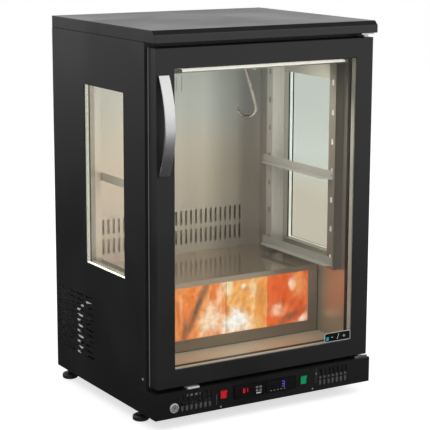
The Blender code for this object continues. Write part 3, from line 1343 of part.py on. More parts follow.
def build_rack():
    """Slotted Z posts on the side walls, and angle rails hooked into their slots."""
    wall = INNER_HALF - GAP
    face = INNER_HALF - POST_FACE_INSET
    low = STEP_TOP + POST_RISE
    for side, hand in ((-1, "left"), (1, "right")):
        for end, setback in (("front", POST_FRONT_SETBACK), ("rear", POST_REAR_SETBACK)):
            y = back(setback)
            plan = [
                (wall, y - POST_WALL_LEG),
                (wall, y + POST_SHEET),
                (face + POST_SHEET, y + POST_SHEET),
                (face + POST_SHEET, y + POST_FACE_WIDTH),
                (face, y + POST_FACE_WIDTH),
                (face, y),
                (wall - POST_SHEET, y),
                (wall - POST_SHEET, y - POST_WALL_LEG),
            ]
            plan = [(side * u, v) for u, v in plan]
            post = flat(f"rack_post_{end}_{hand}", "XY", plan, low, POST_TOP, "stainless")
            middle = y + POST_FACE_WIDTH / 2
            for i in range(POST_SLOTS):
                height = POST_LOWEST_SLOT + i * POST_SLOT_PITCH
                hole = centred(middle, height, POST_SLOT_WIDTH, POST_SLOT_HEIGHT)
                near, far = between(side, face - OVERRUN, face + OVERRUN)
                cut(post, flat(f"slot_{end}_{hand}_{i}", "YZ", hole, near, far, "stainless"))
        for name, level in zip(("lower", "upper"), RAIL_LEVELS):
            shelf_rail(f"shelf_rail_{name}_{hand}", side, face, POST_LOWEST_SLOT + level * POST_SLOT_PITCH)


def shelf_rail(name, side, face, slot_height):
    """An angle rail whose ends are cut at 45 degrees, with a hooked tab for each post."""
    front = back(RAIL_SETBACK)
    rear = front + RAIL_LENGTH
    top = slot_height - POST_SLOT_HEIGHT / 2 + RAIL_BELOW_SLOT + RAIL_TAB_DROP
    bottom = top - RAIL_LEG
    seat = face - GAP
    inner = seat - RAIL_LEG
    web = seat - RAIL_SHEET
    section = [
        (seat, bottom),
        (inner, bottom),
        (inner, bottom + RAIL_SHEET),
        (web, bottom + RAIL_SHEET),
        (web, top),
        (seat, top),
    ]
    rail = flat(name, "XZ", [(side * u, v) for u, v in section], front, rear, "stainless")
    beside = web - GAP
    past = inner - OVERRUN
    for end, middle, sign in (("front", front, 1), ("rear", rear, -1)):
        corner = [
            (beside, middle - sign * OVERRUN),
            (beside, middle),
            (past, middle + sign * (beside - past)),
            (past, middle - sign * OVERRUN),
        ]
        corner = [(side * u, v) for u, v in corner]
        cut(rail, flat(f"{name}_corner_{end}", "XY", corner, bottom - OVERRUN, top + OVERRUN, "stainless"))
    low, high = between(side, web - OVERRUN, seat + OVERRUN)
    hole = circle(front + RAIL_HOLE_SETBACK, (bottom + top) / 2, RAIL_HOLE_RADIUS, COARSE)
    cut(rail, flat(f"{name}_hole", "YZ", hole, low, high, "stainless"))
    hook = seat + GAP + POST_SHEET + GAP
    for end, setback in (("front", POST_FRONT_SETBACK), ("rear", POST_REAR_SETBACK)):
        middle = back(setback) + POST_FACE_WIDTH / 2
        half = RAIL_TAB_WIDTH / 2
        shelf_of_slot = slot_height - POST_SLOT_HEIGHT / 2 + GAP
        near, far = between(side, seat - RAIL_SHEET / 2, hook + RAIL_SHEET)
        neck = block(
            f"{name}_neck_{end}",
            (near, middle - half, shelf_of_slot),
            (far, middle + half, shelf_of_slot + RAIL_TAB_DROP),
            "stainless",
        )
        near, far = between(side, hook, hook + RAIL_SHEET)
        tooth = block(
            f"{name}_tooth_{end}",
            (near, middle - half, shelf_of_slot - RAIL_TAB_DROP),
            (far, middle + half, shelf_of_slot + RAIL_TAB_DROP),
            "stainless",
        )
        fuse(rail, neck, tooth)


def build_rod_and_hook():
    """A round rod from wall to wall in two cups, and an S hook that hangs on it."""
    y = back(ROD_SETBACK)
    z = ROD_HEIGHT
    half = INNER_HALF - GAP
    profile = [
        (0, half),
        (ROD_CUP_RADIUS, half),
        (ROD_CUP_RADIUS, half - ROD_CUP_DEPTH),
        (ROD_RADIUS, half - ROD_CUP_DEPTH),
        (ROD_RADIUS, -half + ROD_CUP_DEPTH),
        (ROD_CUP_RADIUS, -half + ROD_CUP_DEPTH),
        (ROD_CUP_RADIUS, -half),
        (0, -half),
    ]
    turned("hanging_rod", profile, "stainless", (0, y, z), (0, math.pi / 2, 0))
    reach = ROD_RADIUS + HOOK_WIRE_RADIUS + 2 * GAP
    drop = math.cos(HOOK_TURN) * math.sqrt(HOOK_LOOP_RADIUS**2 - (reach / math.sin(HOOK_TURN)) ** 2)
    points = []
    for i in range(17):
        angle = math.radians(150 - 15 * i)
        points.append((HOOK_LOOP_RADIUS * math.sin(angle), HOOK_LOOP_RADIUS * math.cos(angle) - drop))
    along = Vector((math.sin(HOOK_SHANK_LEAN), -math.cos(HOOK_SHANK_LEAN)))
    start = Vector(points[-1])
    points += [tuple(start + along * HOOK_SHANK_LENGTH * i / 3) for i in range(1, 4)]
    inward = Vector((along.y, -along.x))
    middle = Vector(points[-1]) + inward * HOOK_BEND_RADIUS
    for i in range(1, 11):
        angle = math.pi * i / 10
        spoke = along * math.sin(angle) - inward * math.cos(angle)
        points.append(tuple(middle + spoke * HOOK_BEND_RADIUS))
    points.append(tuple(Vector(points[-1]) - along * HOOK_TIP_RISE))
    turn = (math.cos(HOOK_TURN), math.sin(HOOK_TURN))
    bent = [(HOOK_CENTRE + u * turn[0], y + u * turn[1], z + v) for u, v in points]
    hook = wire("hanging_hook", bent, HOOK_WIRE_RADIUS, "brown_steel")
    set_origin(hook, (HOOK_CENTRE, y, z))


def build_light_bar():
    """Light strip from wall to wall under the ceiling, with a thicker cap and holder."""
    half = INNER_HALF - GAP
    y = back(LIGHT_SETBACK)
    tall = LIGHT_THICKNESS / 2
    low = (-half, y, LIGHT_HEIGHT - tall)
    high = (half, y + LIGHT_DEPTH, LIGHT_HEIGHT + tall)
    bar = block("light_bar", low, high, "lamp_white")
    inner = half - LIGHT_CAP
    low = (-half + LIGHT_HOLDER, y - OVERRUN, LIGHT_HEIGHT - tall - OVERRUN)
    high = (inner, y + LIGHT_STEP, LIGHT_HEIGHT + tall + OVERRUN)
    cut(bar, block("strip_recess", low, high, "lamp_white"))


build_worktop()
build_side_panels()
build_rear()
build_base_pan()
build_feet()
build_plinth()
build_control_plate()
build_controllers()
build_lock_plug()
build_front_frame()
build_insulation()
build_windows()
build_step_cover()
build_salt()
build_duct_panel()
build_evaporator()
build_condenser()
build_compressor()
build_door()
build_hinges()
build_rack()
build_rod_and_hook()
build_light_bar()
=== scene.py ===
"""A black dry aging cabinet with a glass door and a backlit salt wall.

Sizes are in millimetres, and mm turns them into metres. +Z is up, the door faces -Y, its handle is
at -X and its hinges are at +X. The studio's and the camera's places are in metres.
"""

from math import cos, pi, radians, sin, sqrt

import bmesh
import bpy
from mathutils import Matrix, Vector, noise


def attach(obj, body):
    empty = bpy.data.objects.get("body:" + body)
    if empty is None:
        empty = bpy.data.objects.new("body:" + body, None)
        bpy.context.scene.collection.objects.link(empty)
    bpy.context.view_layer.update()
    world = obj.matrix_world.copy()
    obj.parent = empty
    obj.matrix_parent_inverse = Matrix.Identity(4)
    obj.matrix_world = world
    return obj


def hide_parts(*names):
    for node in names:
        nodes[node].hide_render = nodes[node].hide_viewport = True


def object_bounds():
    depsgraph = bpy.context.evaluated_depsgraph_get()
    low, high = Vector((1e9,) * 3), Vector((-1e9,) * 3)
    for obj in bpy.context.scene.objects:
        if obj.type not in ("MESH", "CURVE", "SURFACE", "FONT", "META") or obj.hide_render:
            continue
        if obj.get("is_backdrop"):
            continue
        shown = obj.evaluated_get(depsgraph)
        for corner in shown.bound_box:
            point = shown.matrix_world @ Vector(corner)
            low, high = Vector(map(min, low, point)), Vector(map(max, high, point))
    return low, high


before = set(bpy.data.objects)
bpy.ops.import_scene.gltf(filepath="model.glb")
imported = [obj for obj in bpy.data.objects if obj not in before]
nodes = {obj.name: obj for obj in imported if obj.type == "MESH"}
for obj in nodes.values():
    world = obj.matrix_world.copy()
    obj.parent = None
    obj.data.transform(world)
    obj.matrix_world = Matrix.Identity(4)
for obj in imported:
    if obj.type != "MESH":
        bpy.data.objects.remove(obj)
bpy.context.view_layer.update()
MM = 0.001

# Studio: a wide pale floor in a white room, with three soft boxes. A dark mat, which reflections
# alone see, darkens black paint and the handle towards the floor.
ROOM_REACH = 60
ROOM_LIGHT = 0.42
FLOOR_TONE = 0.8
FLOOR_LIFT = 0.66
MAT_REACH = 40
MAT_NEAR, MAT_FAR = 2.3, 6
MAT_NEAR_TONE, MAT_FAR_TONE = 0.05, 0.8
MAT_CENTRE = (-1.1, 1.6, 0)
KEY_POWER, SIDE_POWER = 46, 26


def feed(tree, made, inputs):
    """Gives each socket of a node its value, or the socket that feeds it."""
    for name, value in inputs.items():
        socket = made.inputs[name]
        if isinstance(value, bpy.types.NodeSocket):
            tree.links.new(value, socket)
        else:
            socket.default_value = (*value, 1) if socket.type == "RGBA" else value


def node(tree, kind, inputs=None, **settings):
    made = tree.nodes.new(f"ShaderNode{kind}")
    for name, value in settings.items():
        setattr(made, name, value)
    feed(tree, made, inputs or {})
    return made


def reckon(tree, operation, *values):
    return node(tree, "Math", dict(enumerate(values)), operation=operation).outputs[0]


def reckon_vector(tree, operation, *values):
    return node(tree, "VectorMath", dict(enumerate(values)), operation=operation).outputs


def between(tree, value, start, end, first=0, last=1, soft=False):
    """Turns one range of a value into another, held at both ends."""
    ends = {"Value": value, "From Min": start, "From Max": end, "To Min": first, "To Max": last}
    kind = "SMOOTHSTEP" if soft else "LINEAR"
    return node(tree, "MapRange", ends, interpolation_type=kind).outputs["Result"]


def place_in(tree):
    return node(tree, "TexCoord").outputs["Object"]


def grey(level):
    return (level, level, level)


def bare_finish(name):
    """A new material, with its node tree and its shader."""
    made = bpy.data.materials.new(name)
    made.use_nodes = True
    return made, made.node_tree, made.node_tree.nodes["Principled BSDF"]


def show(tree, made):
    tree.links.new(made.outputs[0], tree.nodes["Material Output"].inputs["Surface"])


def seen_directly(tree):
    """1 for rays from the camera, from gloss and through glass, and 0 for all others."""
    path = node(tree, "LightPath").outputs
    either = reckon(tree, "MAXIMUM", path["Is Camera Ray"], path["Is Glossy Ray"])
    return reckon(tree, "MAXIMUM", either, path["Is Transmission Ray"])


def unseen_by(thing, *rays):
    for ray in rays:
        setattr(thing, f"visible_{ray}", False)


def linked(name, data):
    made = bpy.data.objects.new(name, data)
    bpy.context.scene.collection.objects.link(made)
    return made


def meshed(name, shape, *finishes):
    """Turns a finished bmesh into an object at the origin, with its finishes."""
    mesh = bpy.data.meshes.new(name)
    shape.to_mesh(mesh)
    shape.free()
    for finish in finishes:
        mesh.materials.append(finish)
    return linked(name, mesh)


def disc(name, radius, height, finish):
    shape = bmesh.new()
    bmesh.ops.create_circle(shape, cap_ends=True, segments=64, radius=radius)
    bmesh.ops.translate(shape, vec=(0, 0, height), verts=shape.verts)
    made = meshed(name, shape, finish)
    made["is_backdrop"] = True
    return made


def soft_box(name, place, aim, size, power, colour=(1, 1, 1)):
    """An oblong lamp that is not seen itself, turned towards a point."""
    lamp = bpy.data.lights.new(name, "AREA")
    lamp.shape = "RECTANGLE"
    lamp.size, lamp.size_y = size
    lamp.energy = power
    lamp.color = colour
    holder = linked(name, lamp)
    holder.location = place
    holder.rotation_euler = (Vector(aim) - Vector(place)).to_track_quat("-Z", "Y").to_euler()
    unseen_by(holder, "camera", "glossy", "transmission")


floor_paint, tree, shader = bare_finish("studio_floor_paint")
feed(tree, shader, {"Base Color": grey(FLOOR_TONE), "Roughness": 0.9, "Specular IOR Level": 0})
lift = reckon(tree, "MULTIPLY", seen_directly(tree), FLOOR_LIFT)
glow = node(tree, "Emission", {"Strength": lift})
show(tree, node(tree, "AddShader", {0: shader.outputs[0], 1: glow.outputs[0]}))
disc("studio_floor", ROOM_REACH, 0, floor_paint)

mat_cloth, tree, shader = bare_finish("studio_mat_cloth")
apart = reckon_vector(tree, "DISTANCE", place_in(tree), MAT_CENTRE)["Value"]
tone = between(tree, apart, MAT_NEAR, MAT_FAR, MAT_NEAR_TONE, MAT_FAR_TONE, soft=True)
show(tree, node(tree, "Emission", {"Strength": tone}))
mat = disc("studio_mat", MAT_REACH, MM, mat_cloth)
unseen_by(mat, "camera", "diffuse", "transmission", "shadow")

room = bpy.data.worlds.new("studio_room")
room.use_nodes = True
tree = room.node_tree
share = between(tree, seen_directly(tree), 0, 1, ROOM_LIGHT, 1)
feed(tree, tree.nodes["Background"], {"Strength": share, "Color": grey(1)})
bpy.context.scene.world = room

soft_box("key_box", (-2, -2.6, 3), (0, 0, 0.45), (2.2, 2.2), KEY_POWER)
soft_box("fill_box", (3, -2, 2.2), (0, 0, 0.45), (2.4, 2.4), SIDE_POWER)
soft_box("rear_box", (0.5, 3.2, 2.6), (0, 0, 0.6), (2.4, 2.4), SIDE_POWER)

# Camera: the photograph's viewing angle and lens, from a fit to the cabinet's edges and corners.
# It looks down slightly from the front left, with no lens shift.
CAMERA_PLACE = (-1.9117, -3.1638, 1.1945)
CAMERA_AZIMUTH = radians(-31.16)
CAMERA_ELEVATION = radians(11.58)
CAMERA_ROLL = radians(0.185)
CAMERA_LENS = 129.28

camera = linked("camera", bpy.data.cameras.new("camera"))
level = cos(CAMERA_ELEVATION)
towards = Vector((
    sin(CAMERA_AZIMUTH) * level, -cos(CAMERA_AZIMUTH) * level, sin(CAMERA_ELEVATION),
))
camera.location = CAMERA_PLACE
camera.rotation_mode = "QUATERNION"
roll = Matrix.Rotation(CAMERA_ROLL, 3, towards).to_quaternion()
camera.rotation_quaternion = roll @ (-towards).to_track_quat("-Z", "Y")
camera.data.lens = CAMERA_LENS
camera.data.clip_start, camera.data.clip_end = 0.1, 200
bpy.context.scene.camera = camera
bpy.context.scene.view_settings.view_transform = "Standard"

# Black coated sheet: both side panels, the frame that the door seals on and the door's frame.
# Sheet steel with a satin powder coat, which has a fine orange peel and faint cloudy patches.
BLACK = (0.007, 0.0072, 0.0074)
BLACK_CLOUD = (0.0115, 0.0118, 0.0118)
COAT_ROUGHNESS = (0.36, 0.46)
COAT_GRAIN = 900
COAT_DEPTH = 0.02
PANEL_GLOSS = 0.36


def new_group(name, **inputs):
    """A node group that gives one value, with its inputs' sockets and its result's."""
    tree = bpy.data.node_groups.new(name, "ShaderNodeTree")
    for label, kind in inputs.items():
        tree.interface.new_socket(label, in_out="INPUT", socket_type=f"NodeSocket{kind}")
    tree.interface.new_socket("Value", in_out="OUTPUT", socket_type="NodeSocketFloat")
    result = tree.nodes.new("NodeGroupOutput").inputs["Value"]
    return tree, tree.nodes.new("NodeGroupInput").outputs, result


def noise_in(tree, place, scale, detail, roughness=0.5, distortion=0):
    return node(tree, "TexNoise", {
        "Vector": place, "Scale": scale, "Detail": detail, "Roughness": roughness,
        "Distortion": distortion,
    }).outputs[0]


# grain: fine noise that can be drawn out along one way, as rolled and brushed metal shows
grain, given, result = new_group("grain", Vector="Vector", Stretch="Vector", Scale="Float")
drawn = reckon_vector(grain, "MULTIPLY", given["Vector"], given["Stretch"])[0]
grain.links.new(noise_in(grain, drawn, given["Scale"], 3, 0.55), result)

# clouds: broad soft patches, for smudges and uneven finish
clouds, given, result = new_group("clouds", Vector="Vector", Scale="Float")
broad = noise_in(clouds, given["Vector"], given["Scale"], 4)
clouds.links.new(between(clouds, broad, 0.32, 0.68, soft=True), result)


def use(tree, group, **inputs):
    """Places a node group in a material, with its own values."""
    made = tree.nodes.new("ShaderNodeGroup")
    made.node_tree = group
    feed(tree, made, inputs)
    return made.outputs[0]


def mix(tree, share, first, second, blend="MIX"):
    """Blends two colours, each three numbers or the socket that gives it."""
    inputs = {0: share, 6: first, 7: second}
    return node(tree, "Mix", inputs, data_type="RGBA", blend_type=blend).outputs[2]


def bump(tree, height, depth):
    return node(tree, "Bump", {"Height": height, "Distance": depth * MM, "Strength": 1}).outputs[0]


def surface(
    name, colour, second, roughness, metallic=0, scale=COAT_GRAIN, stretch=(1, 1, 1),
    depth=COAT_DEPTH, patch=5, gloss=0.5, coat=0,
):
    """A finish between two colours and two roughnesses, with a raised grain."""
    made, tree, shader = bare_finish(name)
    place = place_in(tree)
    fine = use(tree, grain, Vector=place, Stretch=stretch, Scale=scale)
    soft = use(tree, clouds, Vector=place, Scale=patch)
    share = between(tree, reckon(tree, "MULTIPLY_ADD", fine, soft, 0.5), 0.35, 1.15)
    feed(tree, shader, {
        "Base Color": mix(tree, share, colour, second), "Metallic": metallic, "Coat Weight": coat,
        "Roughness": between(tree, soft, 0, 1, *roughness), "Specular IOR Level": gloss,
        "Normal": bump(tree, fine, depth),
    })
    return made


def paint(finish, *names):
    """Gives CAD nodes a finish."""
    for name in names:
        for slot in nodes[name].material_slots:
            slot.material = finish


black_coat = surface("black_powder_coat", BLACK, BLACK_CLOUD, COAT_ROUGHNESS)
panel_coat = surface("panel_powder_coat", BLACK, BLACK_CLOUD, COAT_ROUGHNESS, gloss=PANEL_GLOSS)
paint(black_coat, "front_frame", "door_frame")
paint(panel_coat, "side_panel_left", "side_panel_right")

# Worktop: a folded sheet, with the CAD solid's own faces. The front one is a little paler, and the
# bevel above it is dark and matt: painted shade, a shadow line along the edge.
EDGE_TURN = 0.12


def keep(name, shape, finish, *stands_for, body="cabinet", slot=None, smooth=None):
    """Turns a finished bmesh into a piece that rides on a body, and may stand for CAD nodes."""
    made = meshed(name, shape, *(finish if isinstance(finish, tuple) else (finish,)))
    if smooth is not None:
        made.data.shade_smooth()
        made.data.set_sharp_from_angle(angle=radians(smooth))
    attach(made, body)
    if stands_for:
        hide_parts(*stands_for)


worktop_front = surface("worktop_front_coat", grey(0.017), grey(0.024), (0.4, 0.5))
# The bevel's finish is painted shade: a dark shadow line along the front edge.
worktop_edge = surface("worktop_edge_painted_shade", grey(0.007), grey(0.01), (0.55, 0.65), gloss=0.12)
shape = bmesh.new()
shape.from_mesh(nodes["worktop"].data)
bmesh.ops.remove_doubles(shape, verts=shape.verts, dist=MM / 100)
shape.normal_update()
for face in shape.faces:
    x, y, z = face.normal
    face.material_index = 0
    if y < -1 + EDGE_TURN:
        face.material_index = 1
    elif y < -EDGE_TURN and z > EDGE_TURN:
        face.material_index = 2
    elif abs(x) > 1 - EDGE_TURN:
        face.material_index = 3
coats = (black_coat, worktop_front, worktop_edge, panel_coat)
keep("worktop_sheet", shape, coats, "worktop", slot="black_sheet")

# Rear sheet and base pan: plain galvanised steel, with the flowery spangle of the zinc bath.
# Both are folded and screwed on from outside.
SPANGLE = 90
SPANGLE_TONES = (0.75, 1.1)


def shade(finish, *tones):
    """Multiplies a finish's own colour by tones."""
    tree = finish.node_tree
    socket = tree.nodes["Principled BSDF"].inputs["Base Color"]
    for tone in tones:
        tree.links.new(mix(tree, 1, socket.links[0].from_socket, tone, "MULTIPLY"), socket)


galvanised = surface(
    "galvanised_sheet", (0.46, 0.47, 0.48), (0.53, 0.54, 0.55), (0.42, 0.5), 0.7,
    scale=300, depth=0.01, patch=4,
)
tree = galvanised.node_tree
flower = node(tree, "TexVoronoi", {"Vector": place_in(tree), "Scale": SPANGLE}).outputs["Color"]
shade(galvanised, between(tree, flower, 0, 1, *SPANGLE_TONES))
paint(galvanised, "rear_panel", "base_pan")

# Four levelling feet: a moulded pad on a threaded stud, with a hexagon nut under the base pan.
# Each is spun from its half section.
PAD_RADIUS = 19.5
PAD_HEIGHT = 15
PAD_ROUND = 5
STEM = 6
NUT_RADIUS = 11.2
NUT_LOW, NUT_HIGH = 25.7, 31.7
STUD = 4
STUD_TOP = 40.7
FOOT_X = 277
FOOT_ROWS = (("front", -128.45), ("rear", 248.55))
HANDS = ((-1, "left"), (1, "right"))


def mm(*sizes):
    return tuple(size * MM for size in sizes)


def spun(shape, profile, centre, axis="Z", steps=48):
    """Spins (radius, height) points about an axis through a centre."""
    before = set(shape.verts)
    verts = [shape.verts.new(mm(radius, 0, height)) for radius, height in profile]
    edges = [shape.edges.new(pair) for pair in zip(verts, verts[1:])]
    bmesh.ops.spin(
        shape, geom=verts + edges, cent=(0, 0, 0), axis=(0, 0, 1),
        angle=2 * pi, steps=steps, use_merge=True,
    )
    made = [vert for vert in shape.verts if vert not in before]
    turn = Matrix.Rotation(pi / 2 if axis == "Y" else 0, 3, "X")
    bmesh.ops.rotate(shape, matrix=turn, verts=made)
    bmesh.ops.translate(shape, vec=mm(*centre), verts=made)
    bmesh.ops.remove_doubles(shape, verts=made, dist=MM / 100)
    bmesh.ops.recalc_face_normals(shape, faces=shape.faces)


black_plastic = surface("black_moulding", grey(0.01), grey(0.018), (0.42, 0.58), scale=1400, patch=30)
feet = [(f"{row}_{hand}", side * FOOT_X, y) for row, y in FOOT_ROWS for side, hand in HANDS]
for corner, x, y in feet:
    shape = bmesh.new()
    spun(shape, [
        (0, STUD_TOP), (STUD - 0.5, STUD_TOP), (STUD, STUD_TOP - 0.5), (STUD, NUT_HIGH),
        (STEM, NUT_HIGH), (STEM, PAD_HEIGHT + 2), (STEM + 1, PAD_HEIGHT + 0.5),
        (STEM + 3, PAD_HEIGHT), (PAD_RADIUS - PAD_ROUND, PAD_HEIGHT - 0.5),
        (PAD_RADIUS - PAD_ROUND / 3, PAD_HEIGHT - PAD_ROUND / 2),
        (PAD_RADIUS, PAD_HEIGHT - PAD_ROUND), (PAD_RADIUS, PAD_ROUND * 0.7),
        (PAD_RADIUS - PAD_ROUND / 3, PAD_ROUND / 4), (PAD_RADIUS - PAD_ROUND * 0.8, 0), (0, 0),
    ], (x, y, 0))
    nut = bmesh.ops.create_cone(
        shape, cap_ends=True, segments=6, radius1=NUT_RADIUS * MM, radius2=NUT_RADIUS * MM,
        depth=(NUT_HIGH - NUT_LOW) * MM,
    )["verts"]
    bmesh.ops.translate(shape, vec=mm(x, y, (NUT_LOW + NUT_HIGH) / 2), verts=nut)
    name = f"levelling_foot_{corner}"
    keep(name, shape, black_plastic, f"foot_{corner}", slot="black_plastic", smooth=30)

# Plinth: one bent coated sheet with two groups of vents. The lock's barrel and the bright catch
# that the door meets are fixed to it, so the same solid shows chrome where they are.
LOCK_X, LOCK_Z = -251.4, 56
LOCK_REACH = 12.2
BARREL_FRONT, BARREL_REAR = -240.7, -239
CATCH_FLOOR = 93.7
PLINTH_BACK = -197
FAR = 1000
CHROME = grey(0.85)


def axes_of(tree, place):
    return node(tree, "SeparateXYZ", {0: place}).outputs


# inside: 1 within a box, 0 outside it
inside, given, result = new_group("inside", Vector="Vector", Low="Vector", High="Vector")
above = reckon_vector(inside, "SUBTRACT", given["Vector"], given["Low"])[0]
below = reckon_vector(inside, "SUBTRACT", given["High"], given["Vector"])[0]
x, y, z = axes_of(inside, reckon_vector(inside, "MINIMUM", above, below)[0])
least = reckon(inside, "MINIMUM", reckon(inside, "MINIMUM", x, y), z)
inside.links.new(reckon(inside, "GREATER_THAN", least, 0), result)


def with_regions(finish, colour, roughness, metallic, *regions):
    """Gives a finish another colour, roughness and metal inside some boxes."""
    tree = finish.node_tree
    sockets = tree.nodes["Principled BSDF"].inputs
    place = place_in(tree)
    mask = 0
    for low, high in regions:
        found = use(tree, inside, Vector=place, Low=mm(*low), High=mm(*high))
        mask = reckon(tree, "MAXIMUM", mask, found)
    base = sockets["Base Color"]
    tree.links.new(mix(tree, mask, base.links[0].from_socket, colour), base)
    for name, value in (("Roughness", roughness), ("Metallic", metallic)):
        socket = sockets[name]
        first = socket.links[0].from_socket if socket.is_linked else socket.default_value
        tree.links.new(node(tree, "Mix", {0: mask, 2: first, 3: value}).outputs[0], socket)


plinth_coat = surface("plinth_powder_coat", BLACK, BLACK_CLOUD, COAT_ROUGHNESS, gloss=0.3)
left, right = LOCK_X - LOCK_REACH, LOCK_X + LOCK_REACH
low, high = LOCK_Z - LOCK_REACH, LOCK_Z + LOCK_REACH
with_regions(
    plinth_coat, CHROME, 0.35, 0.15,
    ((left, -FAR, low), (right, BARREL_FRONT, high)),
    ((left, BARREL_REAR, low), (right, PLINTH_BACK, high)),
    ((-300, -FAR, CATCH_FLOOR), (0, PLINTH_BACK, 200)),
)
paint(plinth_coat, "plinth_panel")

# Lock: a polished escutcheon ring over the barrel's flange, and a turning plug with its keyway.
# The ring is spun; the plug is the CAD solid, with its cam behind the plinth.
RING_RADIUS = 11.9
RING_BORE = 5.6
RING_FRONT = 3.4
RING_REAR = 0.2
PLINTH_FACE = -240.55

chrome = surface(
    "satin_chrome", grey(0.34), grey(0.44), (0.26, 0.38), 0.55, scale=1200, depth=0.004, patch=60,
)
shape = bmesh.new()
spun(shape, [
    (RING_BORE, RING_FRONT - 1), (RING_BORE + 0.5, RING_FRONT), (RING_RADIUS - 3, RING_FRONT),
    (RING_RADIUS - 1, RING_FRONT - 1), (RING_RADIUS, RING_FRONT - 2.4), (RING_RADIUS, RING_REAR),
    (RING_BORE, RING_REAR), (RING_BORE, RING_FRONT - 1),
], (LOCK_X, PLINTH_FACE, LOCK_Z), "Y")
keep("lock_ring", shape, chrome, slot="chrome", smooth=40)
paint(chrome, "lock_plug")

# Behind the vents: the raised front lip of the galvanised pan, seen low in the slots, a black plate
# across the upper slots of each group, which is painted shade, and the bright bracket that holds the
# catch.
LIP_FRONT, LIP_REAR = -238.4, -237.4
LIP_ENDS = (150, 234)
SHADE_PLATE_MIDDLE, SHADE_PLATE_HALF = 192, 44


def round_off(shape, edges, radius, segments):
    bmesh.ops.bevel(
        shape, geom=edges, offset=radius * MM, segments=segments, profile=0.5, affect="EDGES",
        material=-1,
    )


def box(shape, low, high, bevelled=0, segments=2):
    """A block between two corners, with rounded edges if wanted."""
    low, high = Vector(mm(*low)), Vector(mm(*high))
    made = bmesh.ops.create_cube(shape, size=1)["verts"]
    bmesh.ops.scale(shape, vec=high - low, verts=made)
    bmesh.ops.translate(shape, vec=(low + high) / 2, verts=made)
    if bevelled:
        edges = list({edge for vert in made for edge in vert.link_edges})
        round_off(shape, edges, bevelled, segments)
    return made


def blocks(
    name, finish, slot, *corners, bevelled=0, segments=2, body="cabinet", stands_for=(), smooth=None,
):
    """A piece of one or more blocks, each between two corners."""
    shape = bmesh.new()
    for low, high in corners:
        box(shape, low, high, bevelled, segments)
    keep(name, shape, finish, *stands_for, body=body, slot=slot, smooth=smooth)


dull_zinc = surface("dull_zinc", grey(0.1), grey(0.14), (0.5, 0.6), 0.2, scale=500, depth=0.01, patch=20)
near, far = LIP_ENDS
blocks(
    "pan_lip", dull_zinc, "galvanised",
    ((near, LIP_FRONT, 40), (far, LIP_REAR, 57)),
    ((near, LIP_FRONT, 59.5), (far, LIP_REAR, 66.5)),
    ((-far, LIP_FRONT, 40), (-near, LIP_REAR, 56)),
    bevelled=0.2,
)
# The black plates behind the upper slots are painted shade.
blocks("vent_shade_plate", black_plastic, "black_plastic", *(
    ((middle - SHADE_PLATE_HALF, -236.6, 66), (middle + SHADE_PLATE_HALF, -235.8, 90))
    for middle in (-SHADE_PLATE_MIDDLE, SHADE_PLATE_MIDDLE)
), bevelled=0.2)
blocks("catch_bracket", chrome, "chrome", ((-216, LIP_FRONT, 77), (-180, LIP_REAR, 82)), bevelled=0.2)

# Control plate with its two rocker housings, let into the plinth. It shares the plinth's coat,
# and its moulded switch frames are a little smoother.
plate_coat = surface("plate_powder_coat", BLACK, BLACK_CLOUD, (0.3, 0.4), gloss=0.4)
paint(plate_coat, "control_plate")

# Plate tabs: the plate hooks behind a bright sprung tab at its left, and has a second tab at its
# right, beside a black strip that is painted shade for the gap there.
blocks(
    "plate_tabs", chrome, "chrome",
    ((-138.4, -241, 45), (-137.7, -240.6, 70)), ((140.2, -241.2, 73), (142.6, -240.7, 78)),
    bevelled=0.1,
)
# A black strip at the plate's right: painted shade for the gap.
gap = ((137.8, -240.8, 52), (145, -240.6, 89))
blocks("plate_gap_shade", black_plastic, "black_plastic", gap, bevelled=0.08)

# Fasteners: pan-head screws with a driver recess. Two hold the plate from below its switches,
# two hold each side panel at the plinth, and eight hold the rear sheet.
SCREW_RADIUS = 3.2
SCREW_RISE = 1.6
SCREW_RECESS = 1.3
SMALL_HEAD = 2.4
PANEL_HEAD = 3.4
SIDE = 300
REAR = 271.55
REAR_SCREWS = (50, 320, 600, 870)


def screw(name, centre, facing, radius=SCREW_RADIUS, material=chrome):
    """A pan head on a face, with a round driver recess."""
    shape = bmesh.new()
    rise = SCREW_RISE * radius / SCREW_RADIUS
    spun(shape, [
        (0, rise * 0.35), (SCREW_RECESS, rise * 0.35), (SCREW_RECESS, rise), (radius * 0.62, rise * 0.94),
        (radius * 0.88, rise * 0.68), (radius, rise * 0.3), (radius, 0), (0, 0),
    ], (0, 0, 0), steps=24)
    turn = Vector((0, 0, 1)).rotation_difference(Vector(facing)).to_matrix()
    bmesh.ops.rotate(shape, matrix=turn, verts=shape.verts)
    bmesh.ops.translate(shape, vec=mm(*centre), verts=shape.verts)
    keep(name, shape, material, slot="chrome", smooth=35)


for name, x, z in (("left", -126.5, 38), ("right", 131.8, 39)):
    screw(f"plate_screw_{name}", (x, PLINTH_FACE, z), (0, -1, 0), SMALL_HEAD)
for name, side in (("side_screw", -1), ("side_screw_right", 1)):
    screw(f"{name}_upper", (side * SIDE, -182, 116), (side, 0, 0), PANEL_HEAD)
    screw(f"{name}_lower", (side * SIDE, -176, 93), (side, 0, 0), SMALL_HEAD, black_plastic)
for i, z in enumerate(REAR_SCREWS):
    for side, hand in HANDS:
        screw(f"rear_screw_{hand}_{i + 1}", (side * 285, REAR, z), (0, 1, 0))

# Two panel controllers, flush in the plate: black housings with a thin satin rim, a smoked window
# for each display, lit digits behind it and touch marks. Four keys of the left one press in.
UNIT_MIDDLE = 66.5
UNIT_FRONT = -243.35
UNIT_TALL = 30.4
RIM_WIDE = 2.2
RIM_PROUD = 0.5
WINDOW_HALF = (21.8, 8.3)
WINDOW_OFFSET = -10
WINDOW_FRONT, WINDOW_REAR = -243, -242.6
SEGMENTS = {"8": "abcdefg", "1": "bc", "3": "abcdg"}

